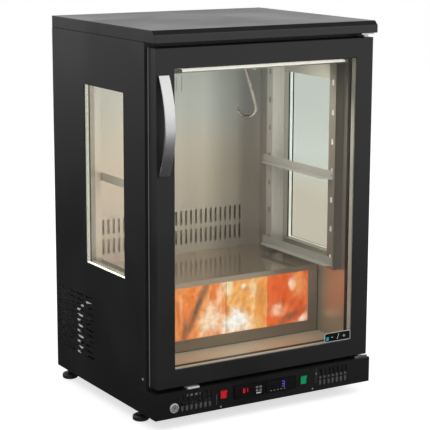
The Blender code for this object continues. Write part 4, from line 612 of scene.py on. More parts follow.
gloss_black = surface(
    "gloss_black_moulding", (0.006, 0.006, 0.007), (0.01, 0.01, 0.011), (0.1, 0.18),
    scale=1500, depth=0.003, patch=25, gloss=0.4,
)
satin_rim = surface(
    "satin_rim", (0.13, 0.122, 0.11), (0.2, 0.19, 0.17), (0.3, 0.42), 0.2,
    stretch=(1, 1, 8), depth=0.01, patch=40,
)
KEY_MOULD = {"roughness": (0.4, 0.5), "scale": 1400, "depth": 0.01, "patch": 60}
pale_key = surface("pale_key", (0.17, 0.17, 0.16), (0.26, 0.26, 0.25), **KEY_MOULD)
white_bar = surface("white_bar", (0.6, 0.6, 0.58), (0.7, 0.7, 0.68), **KEY_MOULD)
paint(gloss_black, "controller_left", "controller_right")
paint(pale_key, *(f"controller_button_{i}" for i in (1, 2, 3, 4)))


def ring(outline, thickness, low, high, plane="XZ"):
    """A flat frame inside an outline, between two depths on the plane's normal."""
    def spot(u, v, depth):
        return Vector(mm(u, depth, v) if plane == "XZ" else mm(depth, u, v))

    u0, v0, u1, v1 = outline
    shape = bmesh.new()
    corners = [shape.verts.new(spot(u, v, low)) for u, v in ((u0, v0), (u1, v0), (u1, v1), (u0, v1))]
    face = shape.faces.new(corners)
    bmesh.ops.inset_individual(shape, faces=[face], thickness=thickness * MM, use_even_offset=True)
    bmesh.ops.delete(shape, geom=[face], context="FACES_ONLY")
    grown = bmesh.ops.extrude_face_region(shape, geom=list(shape.faces))
    moved = [made for made in grown["geom"] if isinstance(made, bmesh.types.BMVert)]
    bmesh.ops.translate(shape, vec=spot(0, 0, high) - spot(0, 0, low), verts=moved)
    bmesh.ops.recalc_face_normals(shape, faces=shape.faces)
    return shape


for label, middle, wide, material, dark, pale in (
    ("left", -51, 80.4, satin_rim, (0.012, 0.003, 0.003), (0.02, 0.004, 0.004)),
    ("right", 39, 84.4, gloss_black, (0.006, 0.006, 0.009), (0.009, 0.008, 0.013)),
):
    half, tall = wide / 2, UNIT_TALL / 2
    outline = (middle - half, UNIT_MIDDLE - tall, middle + half, UNIT_MIDDLE + tall)
    rim = ring(outline, RIM_WIDE, UNIT_FRONT - RIM_PROUD, UNIT_FRONT + 1)
    keep(f"controller_rim_{label}", rim, material, slot="gloss_black")
    smoked = surface(
        f"smoked_window_{label}", dark, pale, (0.08, 0.14), scale=1500, depth=0.001, patch=40,
    )
    centre = middle + WINDOW_OFFSET
    half, tall = WINDOW_HALF
    blocks(
        f"display_window_{label}", smoked, "gloss_black",
        (
            (centre - half, WINDOW_FRONT, UNIT_MIDDLE - tall),
            (centre + half, WINDOW_REAR, UNIT_MIDDLE + tall),
        ),
        bevelled=0.15,
    )


def glows(finish, colour, strength):
    """Gives a finish light of its own, of one colour or of a socket's colours."""
    tree = finish.node_tree
    shader = tree.nodes["Principled BSDF"]
    feed(tree, shader, {"Emission Color": colour, "Emission Strength": strength})


def lit(name, colour, strength, base=grey(0.02)):
    """A lit surface: its light is a little uneven, as behind a moulded lens."""
    made = surface(name, base, base, (0.3, 0.4), depth=0.002, patch=60)
    tree = made.node_tree
    uneven = use(tree, clouds, Vector=place_in(tree), Scale=120)
    glows(made, mix(tree, uneven, tuple(c * 0.8 for c in colour), colour), strength)
    return made


def digit(shape, figure, left, low, wide, tall, thick):
    """One seven-segment figure of thin lit bars, from its lower left corner."""
    bars = {
        "a": (0, tall - thick, wide, tall), "d": (0, 0, wide, thick),
        "g": (0, (tall - thick) / 2, wide, (tall + thick) / 2),
        "b": (wide - thick, tall / 2, wide, tall), "c": (wide - thick, 0, wide, tall / 2),
        "f": (0, tall / 2, thick, tall), "e": (0, 0, thick, tall / 2),
    }
    apart = 0.25
    for name in SEGMENTS[figure]:
        u0, v0, u1, v1 = bars[name]
        box(
            shape, (left + u0 + apart, WINDOW_FRONT - 0.12, low + v0 + apart),
            (left + u1 - apart, WINDOW_FRONT, low + v1 - apart),
        )


red_lit = lit("red_digit_light", (1, 0.03, 0.05), 1.2)
blue_lit = lit("blue_digit_light", (0.16, 0.17, 1), 1.1)
shape = bmesh.new()
digit(shape, "8", -67, UNIT_MIDDLE - 4.6, 5.6, 10.5, 1.25)
digit(shape, "1", -59.5, UNIT_MIDDLE - 4.6, 5.6, 10.5, 1.25)
keep("display_digits_left", shape, red_lit, slot="red_plastic")
shape = bmesh.new()
digit(shape, "3", 41.5, UNIT_MIDDLE - 6.5, 7.6, 14, 1.5)
keep("display_digit_right", shape, blue_lit, slot="gloss_black")
touch_print = surface("touch_mark_print", (0.3, 0.26, 0.2), (0.36, 0.32, 0.26), (0.4, 0.5))
blocks("touch_marks_right", touch_print, "white_plastic", *(
    (
        (9 + 9.5 * i, UNIT_FRONT - 0.15, UNIT_MIDDLE - 12.2),
        (13 + 9.5 * i, UNIT_FRONT, UNIT_MIDDLE - 10.8),
    )
    for i in range(5)
))
bar = ((-30.5, UNIT_FRONT - 0.2, UNIT_MIDDLE - 11.8), (-17.5, UNIT_FRONT, UNIT_MIDDLE - 9))
blocks("key_bar_left", white_bar, "white_plastic", bar, bevelled=0.08)

# Two rocker switches: translucent red and green caps that rock in their housings. A faint glow on
# them is painted light.
CAP_PAINTED_GLOW = 0.14
CAP_MOULD = {"roughness": (0.16, 0.26), "depth": 0.003, "patch": 60, "coat": 0.4}


red_cap = surface("red_rocker", (0.48, 0.006, 0.016), (0.58, 0.012, 0.026), **CAP_MOULD)
green_cap = surface("green_rocker", (0, 0.27, 0.1), (0.01, 0.34, 0.14), **CAP_MOULD)
glows(red_cap, (0.8, 0.01, 0.02), CAP_PAINTED_GLOW)
glows(green_cap, (0, 0.4, 0.14), CAP_PAINTED_GLOW)
paint(red_cap, "rocker_red")
paint(green_cap, "rocker_green")

# Insulated body: foam between the shell and a bright-rolled stainless liner. Its walls, roof, rear,
# step and slotted air panel mirror the chamber softly, along the way the sheet was rolled.
STEEL_METAL = 0.62
ROLLED_UP = (40, 40, 1)
ROLLED_ACROSS = (1, 40, 40)
ROLLED = {"metallic": STEEL_METAL, "scale": 12, "depth": 0.002}
# Tints of painted light in the chamber: cooler above, warmer below.
COOL_ABOVE, WARM_BELOW = (0.89, 0.92, 0.94), (1.06, 0.93, 0.84)
LAMP_WARM = (0.82, 0.8, 0.7)
STEP_FLOOR = (0.58, 0.54, 0.44)
STEP_SHELF = (0.58, 0.48, 0.38)

liner = surface(
    "rolled_stainless", (0.545, 0.555, 0.525), (0.6, 0.61, 0.58), (0.32, 0.38), stretch=ROLLED_UP,
    patch=2, **ROLLED,
)
tree = liner.node_tree
place = place_in(tree)
x, y, z = axes_of(tree, place)
# Painted light and shade: cooler above, warmer below, darker towards the right end and under the roof.
tone = mix(tree, between(tree, z, 0.7, 0.52, soft=True), COOL_ABOVE, WARM_BELOW)
bands = use(tree, grain, Vector=place, Stretch=(1, 1, 0.04), Scale=11)
band = between(tree, bands, 0.35, 0.65, 0.94, 1.04)
right_end_shade = between(tree, x, 0.08, 0.18, 1, 0.66, soft=True)
under_roof_shade = between(tree, z, 0.8, 0.83, 1, 0.4)
shade(liner, tone, band, right_end_shade, under_roof_shade)

# The side walls take a darker copy of the liner's steel, painted shade. They are warmer and darker low
# down, and lighter towards the front and darker towards the rear: painted light and shade.
wall_steel = surface(
    "wall_stainless", (0.42, 0.4, 0.36), (0.48, 0.46, 0.415), (0.28, 0.34), stretch=ROLLED_UP,
    patch=2, **ROLLED,
)
tree = wall_steel.node_tree
x, y, z = axes_of(tree, place_in(tree))
tone = mix(tree, between(tree, z, 0.38, 0.29, soft=True), grey(1), LAMP_WARM)
shade(wall_steel, tone, between(tree, y, -0.08, 0.1, 1.34, 0.78))

# The step's steel is a darker, warmer copy of the liner's, and its floor and its shelf above the salt
# take warm colours too: painted warm light and shade.
step_steel = surface(
    "step_stainless", (0.3, 0.245, 0.19), (0.36, 0.3, 0.235), (0.28, 0.34),
    stretch=ROLLED_ACROSS, patch=3, **ROLLED,
)
with_regions(step_steel, STEP_FLOOR, 0.6, STEEL_METAL, ((-FAR, -FAR, 0), (FAR, -57.2, 123)))
with_regions(step_steel, STEP_SHELF, 0.14, 0.9, ((-FAR, -56.2, 293.9), (FAR, FAR, FAR)))
foam = surface(
    "foamed_insulation", (0.56, 0.5, 0.34), (0.66, 0.6, 0.44), (0.7, 0.85),
    scale=400, depth=0.2, patch=20,
)
paint(liner, "roof_and_rear", "air_panel")
paint(wall_steel, "wall_left", "wall_right")
paint(step_steel, "step_cover")
paint(foam, "stepped_floor")

# Edge trims: a thin bright strip closes the front edge of each side wall, where it meets the frame.
# Folded stainless, clipped on.
for side, hand in HANDS:
    inner, outer = sorted((side * 268.6, side * 269.8))
    strip = ((inner, -178.8, 124), (outer, -176.6, 833))
    blocks(f"wall_trim_{hand}", liner, "stainless", strip, bevelled=0.3)

# Deflector: a plain stainless plate just behind the air outlet's slots, which turns the air upwards.
# It is folded from the liner's own sheet.
blocks("air_deflector", liner, "stainless", ((-46, 218.6, 708), (46, 219.6, 762)))

# Painted shade in the corners of the step: a thin dark strip along the riser's foot and up each side.
# It stands for the shadow in those corners.
SHADE_LINE = 1.3
RISER = -56.95
INNER = 269.7
SHADE_LINE_FLOOR, SHADE_LINE_TOP = 122.3, 294.3

corner_shade = surface(
    "dark_corner_shade", (0.035, 0.03, 0.024), (0.05, 0.044, 0.036), (0.5, 0.65), scale=700, patch=20,
)
blocks(
    "step_corner_shade", corner_shade, "rubber",
    ((-INNER, RISER - SHADE_LINE, SHADE_LINE_FLOOR), (INNER, RISER, SHADE_LINE_FLOOR + SHADE_LINE)),
    ((-INNER, RISER - SHADE_LINE, SHADE_LINE_FLOOR + SHADE_LINE), (SHADE_LINE - INNER, RISER, SHADE_LINE_TOP)),
    ((INNER - SHADE_LINE, RISER - SHADE_LINE, SHADE_LINE_FLOOR + SHADE_LINE), (INNER, RISER, SHADE_LINE_TOP)),
    bevelled=0.3,
)

# Side windows: two panes on a pale aluminium spacer in each wall, sealed with a dark bead.
# The spacer and the bead are thin frames inset from one face and drawn out.
WINDOW = (-96.45, 334, 102.55, 765.5)
SPACER_DEPTHS = (287.3, 295.1)
BEAD_DEPTHS = (282, 284.2)
LEFT_SPACER_SHEET, RIGHT_SPACER_SHEET, BEAD_SHEET = 4.8, 3.4, 2.6
THIN_GLASS = 1.15
SPACER = (0.8, 0.82, 0.8)
SPACER_PALE = (0.86, 0.88, 0.86)
SPACER_FINISH = {"roughness": (0.35, 0.5), "scale": 500, "depth": 0.01, "patch": 12}


def glass(name, colour, lower=None):
    """Clear glass with a faint tint, which can change downwards; it lets lamp light through."""
    made, tree, shader = bare_finish(name)
    place = place_in(tree)
    if lower:
        share = between(tree, axes_of(tree, place)["Z"], 0.58, 0.44, soft=True)
    else:
        share = use(tree, clouds, Vector=place, Scale=3)
    second = lower or tuple(c * 0.99 for c in colour)
    feed(tree, shader, {
        "Base Color": mix(tree, share, colour, second), "Roughness": 0, "IOR": THIN_GLASS,
        "Transmission Weight": 1,
    })
    shadow = node(tree, "LightPath").outputs["Is Shadow Ray"]
    clear = node(tree, "BsdfTransparent", {"Color": colour}).outputs[0]
    show(tree, node(tree, "MixShader", {0: shadow, 1: shader.outputs[0], 2: clear}))
    return made


window_glass = glass("window_glass", (0.985, 0.955, 0.9))
# The right window's glass is darker than the left's, with a warmer tint towards the bottom: painted
# shade.
shaded_glass = glass("shaded_window_glass", (0.755, 0.785, 0.755), (0.7, 0.68, 0.615))
paint(window_glass, "window_outer_left", "window_inner_left")
paint(shaded_glass, "window_outer_right", "window_inner_right")
# The spacers glow: painted light, stronger on the left window.
pale_spacer = surface("pale_spacer", SPACER, SPACER_PALE, **SPACER_FINISH)
glows(pale_spacer, (0.96, 0.99, 1), 0.34)
sky_spacer_painted_glow = surface("spacer_painted_sky_light", SPACER, SPACER_PALE, **SPACER_FINISH)
glows(sky_spacer_painted_glow, (0.93, 1, 0.93), 0.85)
dark_bead = surface("dark_bead", (0.03, 0.028, 0.024), (0.05, 0.046, 0.04), (0.6, 0.75), patch=20)
for side, hand, material, sheet in (
    (-1, "left", sky_spacer_painted_glow, LEFT_SPACER_SHEET), (1, "right", pale_spacer, RIGHT_SPACER_SHEET),
):
    spacer = ring(WINDOW, sheet, *sorted(side * depth for depth in SPACER_DEPTHS), "YZ")
    keep(f"window_spacer_{hand}", spacer, material, slot="pale_spacer")
    bead = ring(WINDOW, BEAD_SHEET, *sorted(side * depth for depth in BEAD_DEPTHS), "YZ")
    keep(f"window_bead_{hand}", bead, dark_bead, slot="rubber")

# Salt wall: four cut blocks of orange rock salt stand in a white lamp housing behind the step's
# window. Light comes through them unevenly, with pale veins, a dark seam and a hot spot.
SALT_HALF = 60.25
SALT_FRONT, SALT_REAR = -55.35, -35.6
SALT_LOW, SALT_HIGH = 146.7, 285.9
SALT_JOINT = 0.3
SALT_GLOW = 0.88
DEEP_SALT = ((0.72, 0.15, 0.02), (0.8, 0.19, 0.03), (0.8, 0.3, 0.05), (0.7, 0.085, 0.012))
PALE_SALT = ((0.98, 0.46, 0.15), (0.98, 0.44, 0.15), (1, 0.56, 0.19), (0.86, 0.22, 0.05))
UNLIT_SALT = (0.18, 0.16, 0.14)
# each patch: its middle across and up, its half width and height, colour, strength and lean
SALT_PATCHES = (
    (-127, 225, 7, 60, (1, 0.52, 0.26), 0.7),
    (-100, 262, 22, 30, (0.86, 0.22, 0.03), 0.8, -20),
    (-38, 192, 42, 46, (1, 0.78, 0.56), 0.95, -20),
    (-20, 244, 20, 44, (1, 0.62, 0.36), 0.8, -24),
    (-62, 236, 10, 60, (0.94, 0.4, 0.12), 0.7, -26),
    (-87, 217, 14, 96, (0.15, 0.085, 0.055), 1, -27),
    (-116, 176, 12, 40, (0.18, 0.09, 0.055), 0.8, -8),
    (8, 266, 12, 26, (1, 0.86, 0.56), 0.9),
    (28, 178, 44, 36, (1, 0.97, 0.86), 1),
    (28, 182, 26, 24, (1, 1, 0.97), 1),
    (50, 264, 8, 8, (1, 0.95, 0.85), 1),
    (78, 262, 10, 30, (1, 0.76, 0.46), 0.8),
    (101, 220, 14, 60, (0.72, 0.24, 0.035), 0.8),
    (82, 170, 20, 16, (1, 0.66, 0.32), 0.6),
    (156, 246, 44, 44, (0.8, 0.115, 0.015), 0.95, 10),
    (136, 168, 30, 18, (0.82, 0.13, 0.02), 0.8),
    (151, 194, 20, 20, (1, 0.6, 0.4), 0.9),
    (194, 252, 11, 13, (1, 0.84, 0.68), 0.9),
    (214, 246, 22, 36, (0.96, 0.4, 0.14), 0.7),
    (200, 172, 42, 13, (0.26, 0.09, 0.045), 0.9, 22),
    (222, 158, 26, 14, (1, 0.74, 0.56), 1, 24),
)

lamp_white = surface(
    "lamp_housing_white", (0.75, 0.73, 0.66), (0.82, 0.8, 0.74), (0.5, 0.6),
    scale=700, depth=0.01, patch=14,
)
paint(lamp_white, "salt_lamp")
salt, tree, shader = bare_finish("backlit_rock_salt")
place = place_in(tree)
across = axes_of(tree, place)["X"]
fibre = reckon_vector(tree, "MULTIPLY", place, (26, 26, 13))[0]
veins = noise_in(tree, fibre, 1, 7, 0.6, 0.35)
ragged = between(tree, veins, 0.35, 0.65, 0.45, -0.45)


def blockwise(tree, across, colours):
    """One colour for each salt block, changing sharply at the seams."""
    end = len(colours) * SALT_HALF * MM
    share = between(tree, across, -end, end)
    ramp = node(tree, "ValToRGB", {0: share})
    ramp.color_ramp.interpolation = "CONSTANT"
    steps = ramp.color_ramp.elements
    while len(steps) < len(colours):
        steps.new(0.5)
    for i, (step, colour) in enumerate(zip(steps, colours)):
        step.position = i / len(colours)
        step.color = (*colour, 1)
    return ramp.outputs[0]


def patch(below, tree, place, ragged, x, z, wide, tall, colour, strength, lean=0):
    """Lays a soft ellipse of another colour over the salt."""
    turn = {"Vector": reckon_vector(tree, "SUBTRACT", place, mm(x, 0, z))[0], "Angle": radians(lean)}
    turned = node(tree, "VectorRotate", turn, rotation_type="Y_AXIS")
    squeeze = (1 / (wide * MM), 0, 1 / (tall * MM))
    scaled = reckon_vector(tree, "MULTIPLY", turned.outputs[0], squeeze)[0]
    reach = reckon(tree, "ADD", reckon_vector(tree, "LENGTH", scaled)["Value"], ragged)
    return mix(tree, between(tree, reach, 1.35, 0.1, 0, strength, soft=True), below, colour)


glowing = mix(
    tree, between(tree, veins, 0.34, 0.66),
    blockwise(tree, across, DEEP_SALT), blockwise(tree, across, PALE_SALT),
)
for sizes in SALT_PATCHES:
    glowing = patch(glowing, tree, place, ragged, *sizes)
flecks = between(tree, noise_in(tree, place, 75, 4, 0.6), 0.38, 0.58, 0.8, 1.05)
seam = between(tree, reckon(tree, "PINGPONG", across, 2 * SALT_HALF * MM), 0, 2.5 * MM, 0.55, 1)
for tone in (flecks, seam):
    glowing = mix(tree, 1, glowing, tone, "MULTIPLY")
cut_face = bump(tree, noise_in(tree, place, 160, 4), 0.3)
feed(tree, shader, {
    "Base Color": mix(tree, 1, glowing, UNLIT_SALT, "MULTIPLY"), "Emission Color": glowing,
    "Emission Strength": SALT_GLOW, "Normal": cut_face, "Roughness": 0.45, "Specular IOR Level": 0.2,
})
for i in range(4):
    middle = (2 * i - 3) * SALT_HALF
    half = SALT_HALF - SALT_JOINT
    shape = bmesh.new()
    box(shape, (middle - half, SALT_FRONT, SALT_LOW), (middle + half, SALT_REAR, SALT_HIGH), 2.2, 3)
    long_edges = [edge for edge in shape.edges if edge.calc_length() > 15 * MM]
    bmesh.ops.subdivide_edges(shape, edges=long_edges, cuts=12, use_grid_fill=True)
    for vert in shape.verts:
        vert.co.y += max(noise.noise(vert.co * 60) * 0.5 * MM, 0)
    keep(f"salt_brick_{i + 1}", shape, salt, f"salt_block_{i + 1}", slot="salt", smooth=30)

# Cooling: finned coils of bare aluminium with bright return bends, their fans, and the compressor.
# The condenser's shroud and motor are black; they show through the vents.
FINS = {"metallic": 1, "scale": 500, "stretch": (1, 1, 20), "patch": 20}
SHROUD_FRONT = 151.9

fins = surface("bare_fins", (0.55, 0.56, 0.57), (0.7, 0.71, 0.72), (0.3, 0.45), **FINS)
paint(fins, "evaporator")
condenser_coat = surface("condenser_fins", (0.5, 0.51, 0.52), (0.66, 0.67, 0.68), (0.3, 0.42), **FINS)
with_regions(condenser_coat, BLACK, 0.45, 0, ((-300, SHROUD_FRONT, 0), (0, 300, 300)))
paint(condenser_coat, "condenser")
paint(black_plastic, "condenser_fan", "duct_fan")
shell_enamel = surface(
    "compressor_enamel", grey(0.012), (0.02, 0.02, 0.021), (0.2, 0.32), scale=600, patch=10,
)
paint(shell_enamel, "compressor")

# Bends: the condenser's tubes return at its left end, and its supply pipe rises beside them, close
# behind the side vents. Bare bright aluminium, each bent from one length of tube.
TUBE = 4
BEND_FOOT = -258.6
BEND_REACH = 30
BEND_MIDDLE = 132
BEND_HALF = 14
BEND_ROWS = 9
BEND_LOWEST = 52
BEND_PITCH = 18.6
BEND_RISE = 0.36
DRAWN_TUBE = {"metallic": 0.5, "scale": 600, "depth": 0.01, "patch": 40}

# The supply pipe glows: painted glints, seen through the side vents. The return bends take a darker copy
# of its finish: painted shade.
tube_painted_glint = surface("tube_painted_glint", (0.72, 0.72, 0.7), (0.84, 0.84, 0.82), (0.22, 0.34), **DRAWN_TUBE)
glows(tube_painted_glint, grey(1), 0.3)
tube_painted_shade = surface("tube_painted_shade", (0.16, 0.16, 0.155), (0.24, 0.24, 0.23), (0.3, 0.42), **DRAWN_TUBE)


def wire(name, runs, radius, resolution, *finishes):
    """A round wire or tube along points; each run is its points and the number of its finish."""
    curve = bpy.data.curves.new(name, "CURVE")
    curve.dimensions = "3D"
    curve.bevel_depth = radius * MM
    curve.bevel_resolution = resolution
    curve.use_fill_caps = True
    for finish in finishes:
        curve.materials.append(finish)
    for points, finish in runs:
        spline = curve.splines.new("POLY")
        spline.material_index = finish
        spline.points.add(len(points) - 1)
        for point, spot in zip(spline.points, points):
            point.co = (*mm(*spot), 1)
    return linked(name, curve)


runs = []
for i in range(BEND_ROWS):
    turns = [pi * j / 12 for j in range(13)]
    runs.append(([(
        BEND_FOOT - BEND_REACH * sin(turn), BEND_MIDDLE - BEND_HALF * cos(turn),
        BEND_LOWEST + BEND_PITCH * (i + BEND_RISE * turn / pi),
    ) for turn in turns], 0))
supply = [(BEND_FOOT, 146, 46), (-272, 160, 47)]
supply += [(-286, 170 + 12 * sin(j * 1.9), 56 + 8 * j) for j in range(20)]
supply += [(-272, 160, 217), (BEND_FOOT, 146, 218)]
runs.append((supply, 1))
bends = wire("condenser_bends", runs, TUBE, 3, tube_painted_shade, tube_painted_glint)
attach(bends, "cabinet")

# Door: an insulating unit of two panes on a pale spacer, in the coated frame, with a rubber gasket.
# A thin pale strip along the frame's rear edge is a painted highlight, and shows as a pale line beside
# the cabinet.
REAR_EDGE = (-293, 102, 876.4)
REAR_FACE = -202.45
HIGHLIGHT_END = 255
HIGHLIGHT_WIDE = 3
HIGHLIGHT_DEEP = 4

door_glass = glass("door_glass", (0.972, 0.974, 0.958))
paint(door_glass, "door_pane_outer", "door_pane_inner")
door_spacer = surface(
    "door_spacer", (0.33, 0.315, 0.275), (0.4, 0.385, 0.34), (0.4, 0.5),
    scale=500, depth=0.01, patch=12,
)
paint(door_spacer, "door_spacer")
rubber = surface("gasket_rubber", grey(0.012), grey(0.02), (0.65, 0.8), depth=0.03, patch=20)
paint(rubber, "door_gasket")
# Painted highlight along the door frame's rear edge.
rear_edge_highlight = surface(
    "rear_edge_highlight", (0.17, 0.17, 0.165), (0.22, 0.22, 0.215), (0.3, 0.4),
    scale=700, depth=0.005, patch=10,
)
left, low, high = REAR_EDGE
turn, deep = left + HIGHLIGHT_WIDE, REAR_FACE + HIGHLIGHT_DEEP
blocks(
    "door_rear_highlight", rear_edge_highlight, "brushed_steel",
    ((left, REAR_FACE, low), (turn, deep, high)),
    ((turn, REAR_FACE, low), (HIGHLIGHT_END, deep, low + HIGHLIGHT_WIDE)),
    ((turn, REAR_FACE, high - HIGHLIGHT_WIDE), (HIGHLIGHT_END, deep, high)),
    bevelled=0.4, body="door",
)

# Handle: a flat stainless bar bowed away from the door in one sweep, brushed lengthwise, on two
# posts. One long block is sliced, and its slices are pushed out to the bow.
HANDLE_LEFT, HANDLE_RIGHT = -288, -262.5
HANDLE_MIDDLE = 705.5
HANDLE_HALF = 112.5
HANDLE_BOW = 28.7
HANDLE_THICK = 6
HANDLE_BACK = -236.85
POST_RADIUS = 5
POST_SHARE = 0.86

handle_steel = surface(
    "brushed_handle", grey(0.68), grey(0.8), (0.2, 0.3), 1,
    scale=60, stretch=(60, 60, 1), depth=0.01, patch=12,
)
shape = bmesh.new()
box(
    shape, (HANDLE_LEFT, HANDLE_BACK - HANDLE_THICK, HANDLE_MIDDLE - HANDLE_HALF),
    (HANDLE_RIGHT, HANDLE_BACK, HANDLE_MIDDLE + HANDLE_HALF), 1.6, 3,
)
long_edges = [e for e in shape.edges if abs(e.verts[0].co.z - e.verts[1].co.z) > HANDLE_HALF * MM]
bmesh.ops.subdivide_edges(shape, edges=long_edges, cuts=80, use_grid_fill=True)
for vert in shape.verts:
    vert.co.y -= HANDLE_BOW * MM * (1 - ((vert.co.z / MM - HANDLE_MIDDLE) / HANDLE_HALF) ** 2)
reach = HANDLE_BOW * (1 - POST_SHARE**2) + HANDLE_THICK / 2
for sign in (-1, 1):
    spun(
        shape, [(0, reach), (POST_RADIUS, reach), (POST_RADIUS, 0), (0, 0)],
        ((HANDLE_LEFT + HANDLE_RIGHT) / 2, HANDLE_BACK, HANDLE_MIDDLE + sign * HANDLE_HALF * POST_SHARE),
        "Y", 32,
    )
keep("handle_bar", shape, handle_steel, "door_handle", body="door", slot="brushed_steel", smooth=50)

# Badge: a small black plate with a pale rim, stuck on the outer pane near its lower right corner.
# It carries a cyan square and plain marks, with no lettering.
BADGE = (168.5, 146.5, 244.5, 169.5)
BADGE_CORNER = 4
BADGE_RIM = 1.5
PANE_FACE = -234.75
MARK_FRONT, MARK_REAR = PANE_FACE - 0.9, PANE_FACE - 0.7


def rounded_plate(outline, corner, low, high):
    """A plate with round corners, between two depths."""
    u0, v0, u1, v1 = outline
    shape = bmesh.new()
    box(shape, (u0, low, v0), (u1, high, v1))
    thick = (high - low) * MM
    edges = [e for e in shape.edges if abs(e.verts[0].co.y - e.verts[1].co.y) > thick / 2]
    round_off(shape, edges, corner, 6)
    return shape


badge_rim = surface("badge_rim", (0.62, 0.62, 0.58), (0.7, 0.7, 0.66), (0.3, 0.4))
cyan_print = surface("cyan_print", (0, 0.36, 0.52), (0, 0.42, 0.58), (0.4, 0.5))
plate = rounded_plate(BADGE, BADGE_CORNER, PANE_FACE - 0.5, PANE_FACE)
keep("badge_plate", plate, badge_rim, body="door", slot="white_plastic")
u0, v0, u1, v1 = BADGE
field = (u0 + BADGE_RIM, v0 + BADGE_RIM, u1 - BADGE_RIM, v1 - BADGE_RIM)
plate = rounded_plate(field, BADGE_CORNER - 1, PANE_FACE - 0.8, PANE_FACE - 0.4)
keep("badge_face", plate, gloss_black, body="door", slot="gloss_black")
square = ((173.5, MARK_FRONT, 150.5), (180.5, MARK_REAR, 159.5))
blocks("badge_square", cyan_print, "gloss_black", square, body="door")
shape = bmesh.new()
for x0, x1, z0, z1 in ((188, 193, 157, 158.5), (222, 229, 157, 158.5), (224.7, 226.3, 154, 161.5)):
    box(shape, (x0, MARK_FRONT, z0), (x1, MARK_REAR, z1))
slash = box(shape, (-0.7, MARK_FRONT, -7), (0.7, MARK_REAR, 7))
bmesh.ops.rotate(shape, matrix=Matrix.Rotation(radians(20), 3, "Y"), verts=slash)
bmesh.ops.translate(shape, vec=mm(208, 0, 158), verts=slash)
keep("badge_marks", shape, badge_rim, body="door", slot="white_plastic")

# Hinges: zinc-plated brackets above and below the door, each with a boss and a pin.
# The lower one is screwed to the plinth's top, and the upper one under the worktop.
bright_zinc = surface(
    "bright_zinc", (0.62, 0.62, 0.6), (0.74, 0.74, 0.72), (0.25, 0.4), 1,
    scale=600, depth=0.01, patch=30,
)
paint(bright_zinc, "hinge_bottom", "hinge_top")

# Rack: slotted posts and angle rails of thin stainless, and the round rod from wall to wall.
# The rails hook into the posts; a pale glowing strip behind the slots of the front posts is painted
# light.
RACK = {"metallic": STEEL_METAL, "scale": 14, "depth": 0.002, "patch": 3}
UPRIGHT = {"roughness": (0.28, 0.34), "stretch": ROLLED_UP, **RACK}

rack_steel = surface("rack_stainless", (0.52, 0.51, 0.48), (0.6, 0.59, 0.55), **UPRIGHT)
# The front posts take a darker, warmer copy of the rack's steel: painted shade.
front_steel = surface("front_rack_stainless", (0.27, 0.24, 0.205), (0.32, 0.29, 0.25), **UPRIGHT)
rail_steel = surface(
    "rail_stainless", (0.46, 0.46, 0.44), (0.54, 0.54, 0.52), (0.28, 0.36), stretch=ROLLED_ACROSS, **RACK,
)
paint(rack_steel, "rack_post_rear_right")
paint(liner, "rack_post_rear_left")
paint(front_steel, "rack_post_front_left", "rack_post_front_right")
for side, hand in HANDS:
    # The glowing strips are painted light, seen through the front posts' slots.
    inner, outer = sorted((side * 250, side * 250.6))
    glow_strip = ((inner, -152.5, 322), (outer, -129, 800))
    blocks(f"slot_glow_strip_{hand}", pale_spacer, "pale_spacer", glow_strip)
rails = (f"shelf_rail_{level}_{hand}" for level in ("lower", "upper") for side, hand in HANDS)
paint(rail_steel, "hanging_rod", *rails)

# Hook: one length of steel wire, bent over the rod and up again at its lower end. It is a curve
# with a round section, along the same points as the CAD solid, and swings on the rod.
HOOK_WIRE = 3.75
HOOK_LOOP = 15.5
HOOK_X, HOOK_Y = 104, 6.55
ROD_Z = 805
ROD_RADIUS = 6
HOOK_PLAY = 0.6
HOOK_TURN = radians(-45)
HOOK_LEAN = radians(16)
HOOK_SHANK = 105
HOOK_BEND = 23
HOOK_TIP = 12

# The hook's steel is tinted warm brown: a painted reflection.
hook_steel = surface(
    "hook_steel", (0.46, 0.4, 0.35), (0.66, 0.61, 0.56), (0.22, 0.34), 1,
    scale=90, stretch=(8, 8, 1), depth=0.01, patch=25,
)
clearance = ROD_RADIUS + HOOK_WIRE + HOOK_PLAY
drop = cos(HOOK_TURN) * sqrt(HOOK_LOOP**2 - (clearance / sin(HOOK_TURN)) ** 2)
line = []
for i in range(33):
    angle = radians(150 - 7.5 * i)
    line.append(Vector((HOOK_LOOP * sin(angle), HOOK_LOOP * cos(angle) - drop)))
along = Vector((sin(HOOK_LEAN), -cos(HOOK_LEAN)))
inward = Vector((along.y, -along.x))
start = line[-1].copy()
line += [start + along * HOOK_SHANK * i / 6 for i in range(1, 7)]
middle = line[-1] + inward * HOOK_BEND
for i in range(1, 25):
    angle = pi * i / 24
    line.append(middle + (along * sin(angle) - inward * cos(angle)) * HOOK_BEND)
line.append(line[-1] - along * HOOK_TIP)
x, y = cos(HOOK_TURN), sin(HOOK_TURN)
path = [(HOOK_X + spot.x * x, HOOK_Y + spot.x * y, ROD_Z + spot.y) for spot in line]
hook = wire("hook_wire", [(path, 0)], HOOK_WIRE, 5, hook_steel)
for i, point in enumerate(reversed(hook.data.splines[0].points)):
    point.radius = min(1, 0.35 + 0.3 * i)
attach(hook, "hook")
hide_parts("hanging_hook")

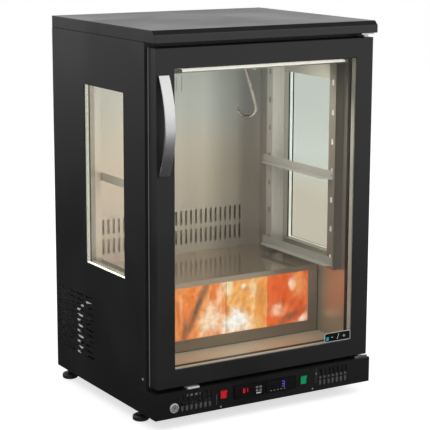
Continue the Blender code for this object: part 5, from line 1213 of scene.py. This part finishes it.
# Light: an opal strip in a slim carrier under the ceiling, with a white end cap at the right and a
# grey holder at the left. The strip glows, and a lamp below it throws its light into the chamber.
LIGHT_FRONT, LIGHT_REAR = -192.45, -180.45
LIGHT_LOW, LIGHT_HIGH = 813.75, 822.25
STRIP_LEFT, STRIP_RIGHT = -201.7, 242.7
STRIP_FLOOR = 816.6
LIGHT_END = 269.7
STRIP_COLOUR = (1, 0.97, 0.89)
SALT_COLOUR = (1, 0.5, 0.2)
STRIP_POWER, SALT_POWER = 2.8, 0.15

opal_light = lit("opal_strip_light", (1, 0.97, 0.88), 0.72, (0.6, 0.58, 0.52))
HOLDER = {"roughness": (0.4, 0.5), "scale": 700, "depth": 0.01, "patch": 20}
holder_grey = surface("holder_grey", (0.16, 0.155, 0.14), (0.22, 0.21, 0.19), metallic=0.4, **HOLDER)
cap_white = surface("cap_white", (0.66, 0.65, 0.58), (0.72, 0.71, 0.64), **HOLDER)
blocks(
    "light_strip", opal_light, "white_plastic",
    ((STRIP_LEFT, LIGHT_FRONT + 0.4, STRIP_FLOOR), (STRIP_RIGHT, LIGHT_REAR, LIGHT_HIGH)),
    bevelled=1.2, segments=3, stands_for=("light_bar",), smooth=40,
)
blocks(
    "light_carrier", liner, "aluminium",
    ((STRIP_LEFT, LIGHT_FRONT + 0.8, LIGHT_LOW), (STRIP_RIGHT, LIGHT_REAR, STRIP_FLOOR)),
    bevelled=0.6, smooth=40,
)
for name, finish, start, end in (
    ("light_end_cap", cap_white, STRIP_RIGHT, LIGHT_END),
    ("light_holder", holder_grey, -LIGHT_END, STRIP_LEFT),
):
    ends = ((start, LIGHT_FRONT, LIGHT_LOW), (end, LIGHT_REAR, LIGHT_HIGH))
    blocks(name, finish, "white_plastic", ends, bevelled=1, smooth=40)
soft_box("strip_lamp", (0, -0.12, 0.8), (0, 0.12, 0.4), (0.36, 0.03), STRIP_POWER, STRIP_COLOUR)
soft_box("salt_glow", (0, -0.062, 0.216), (0, -0.2, 0.18), (0.46, 0.11), SALT_POWER, SALT_COLOUR)

low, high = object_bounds()
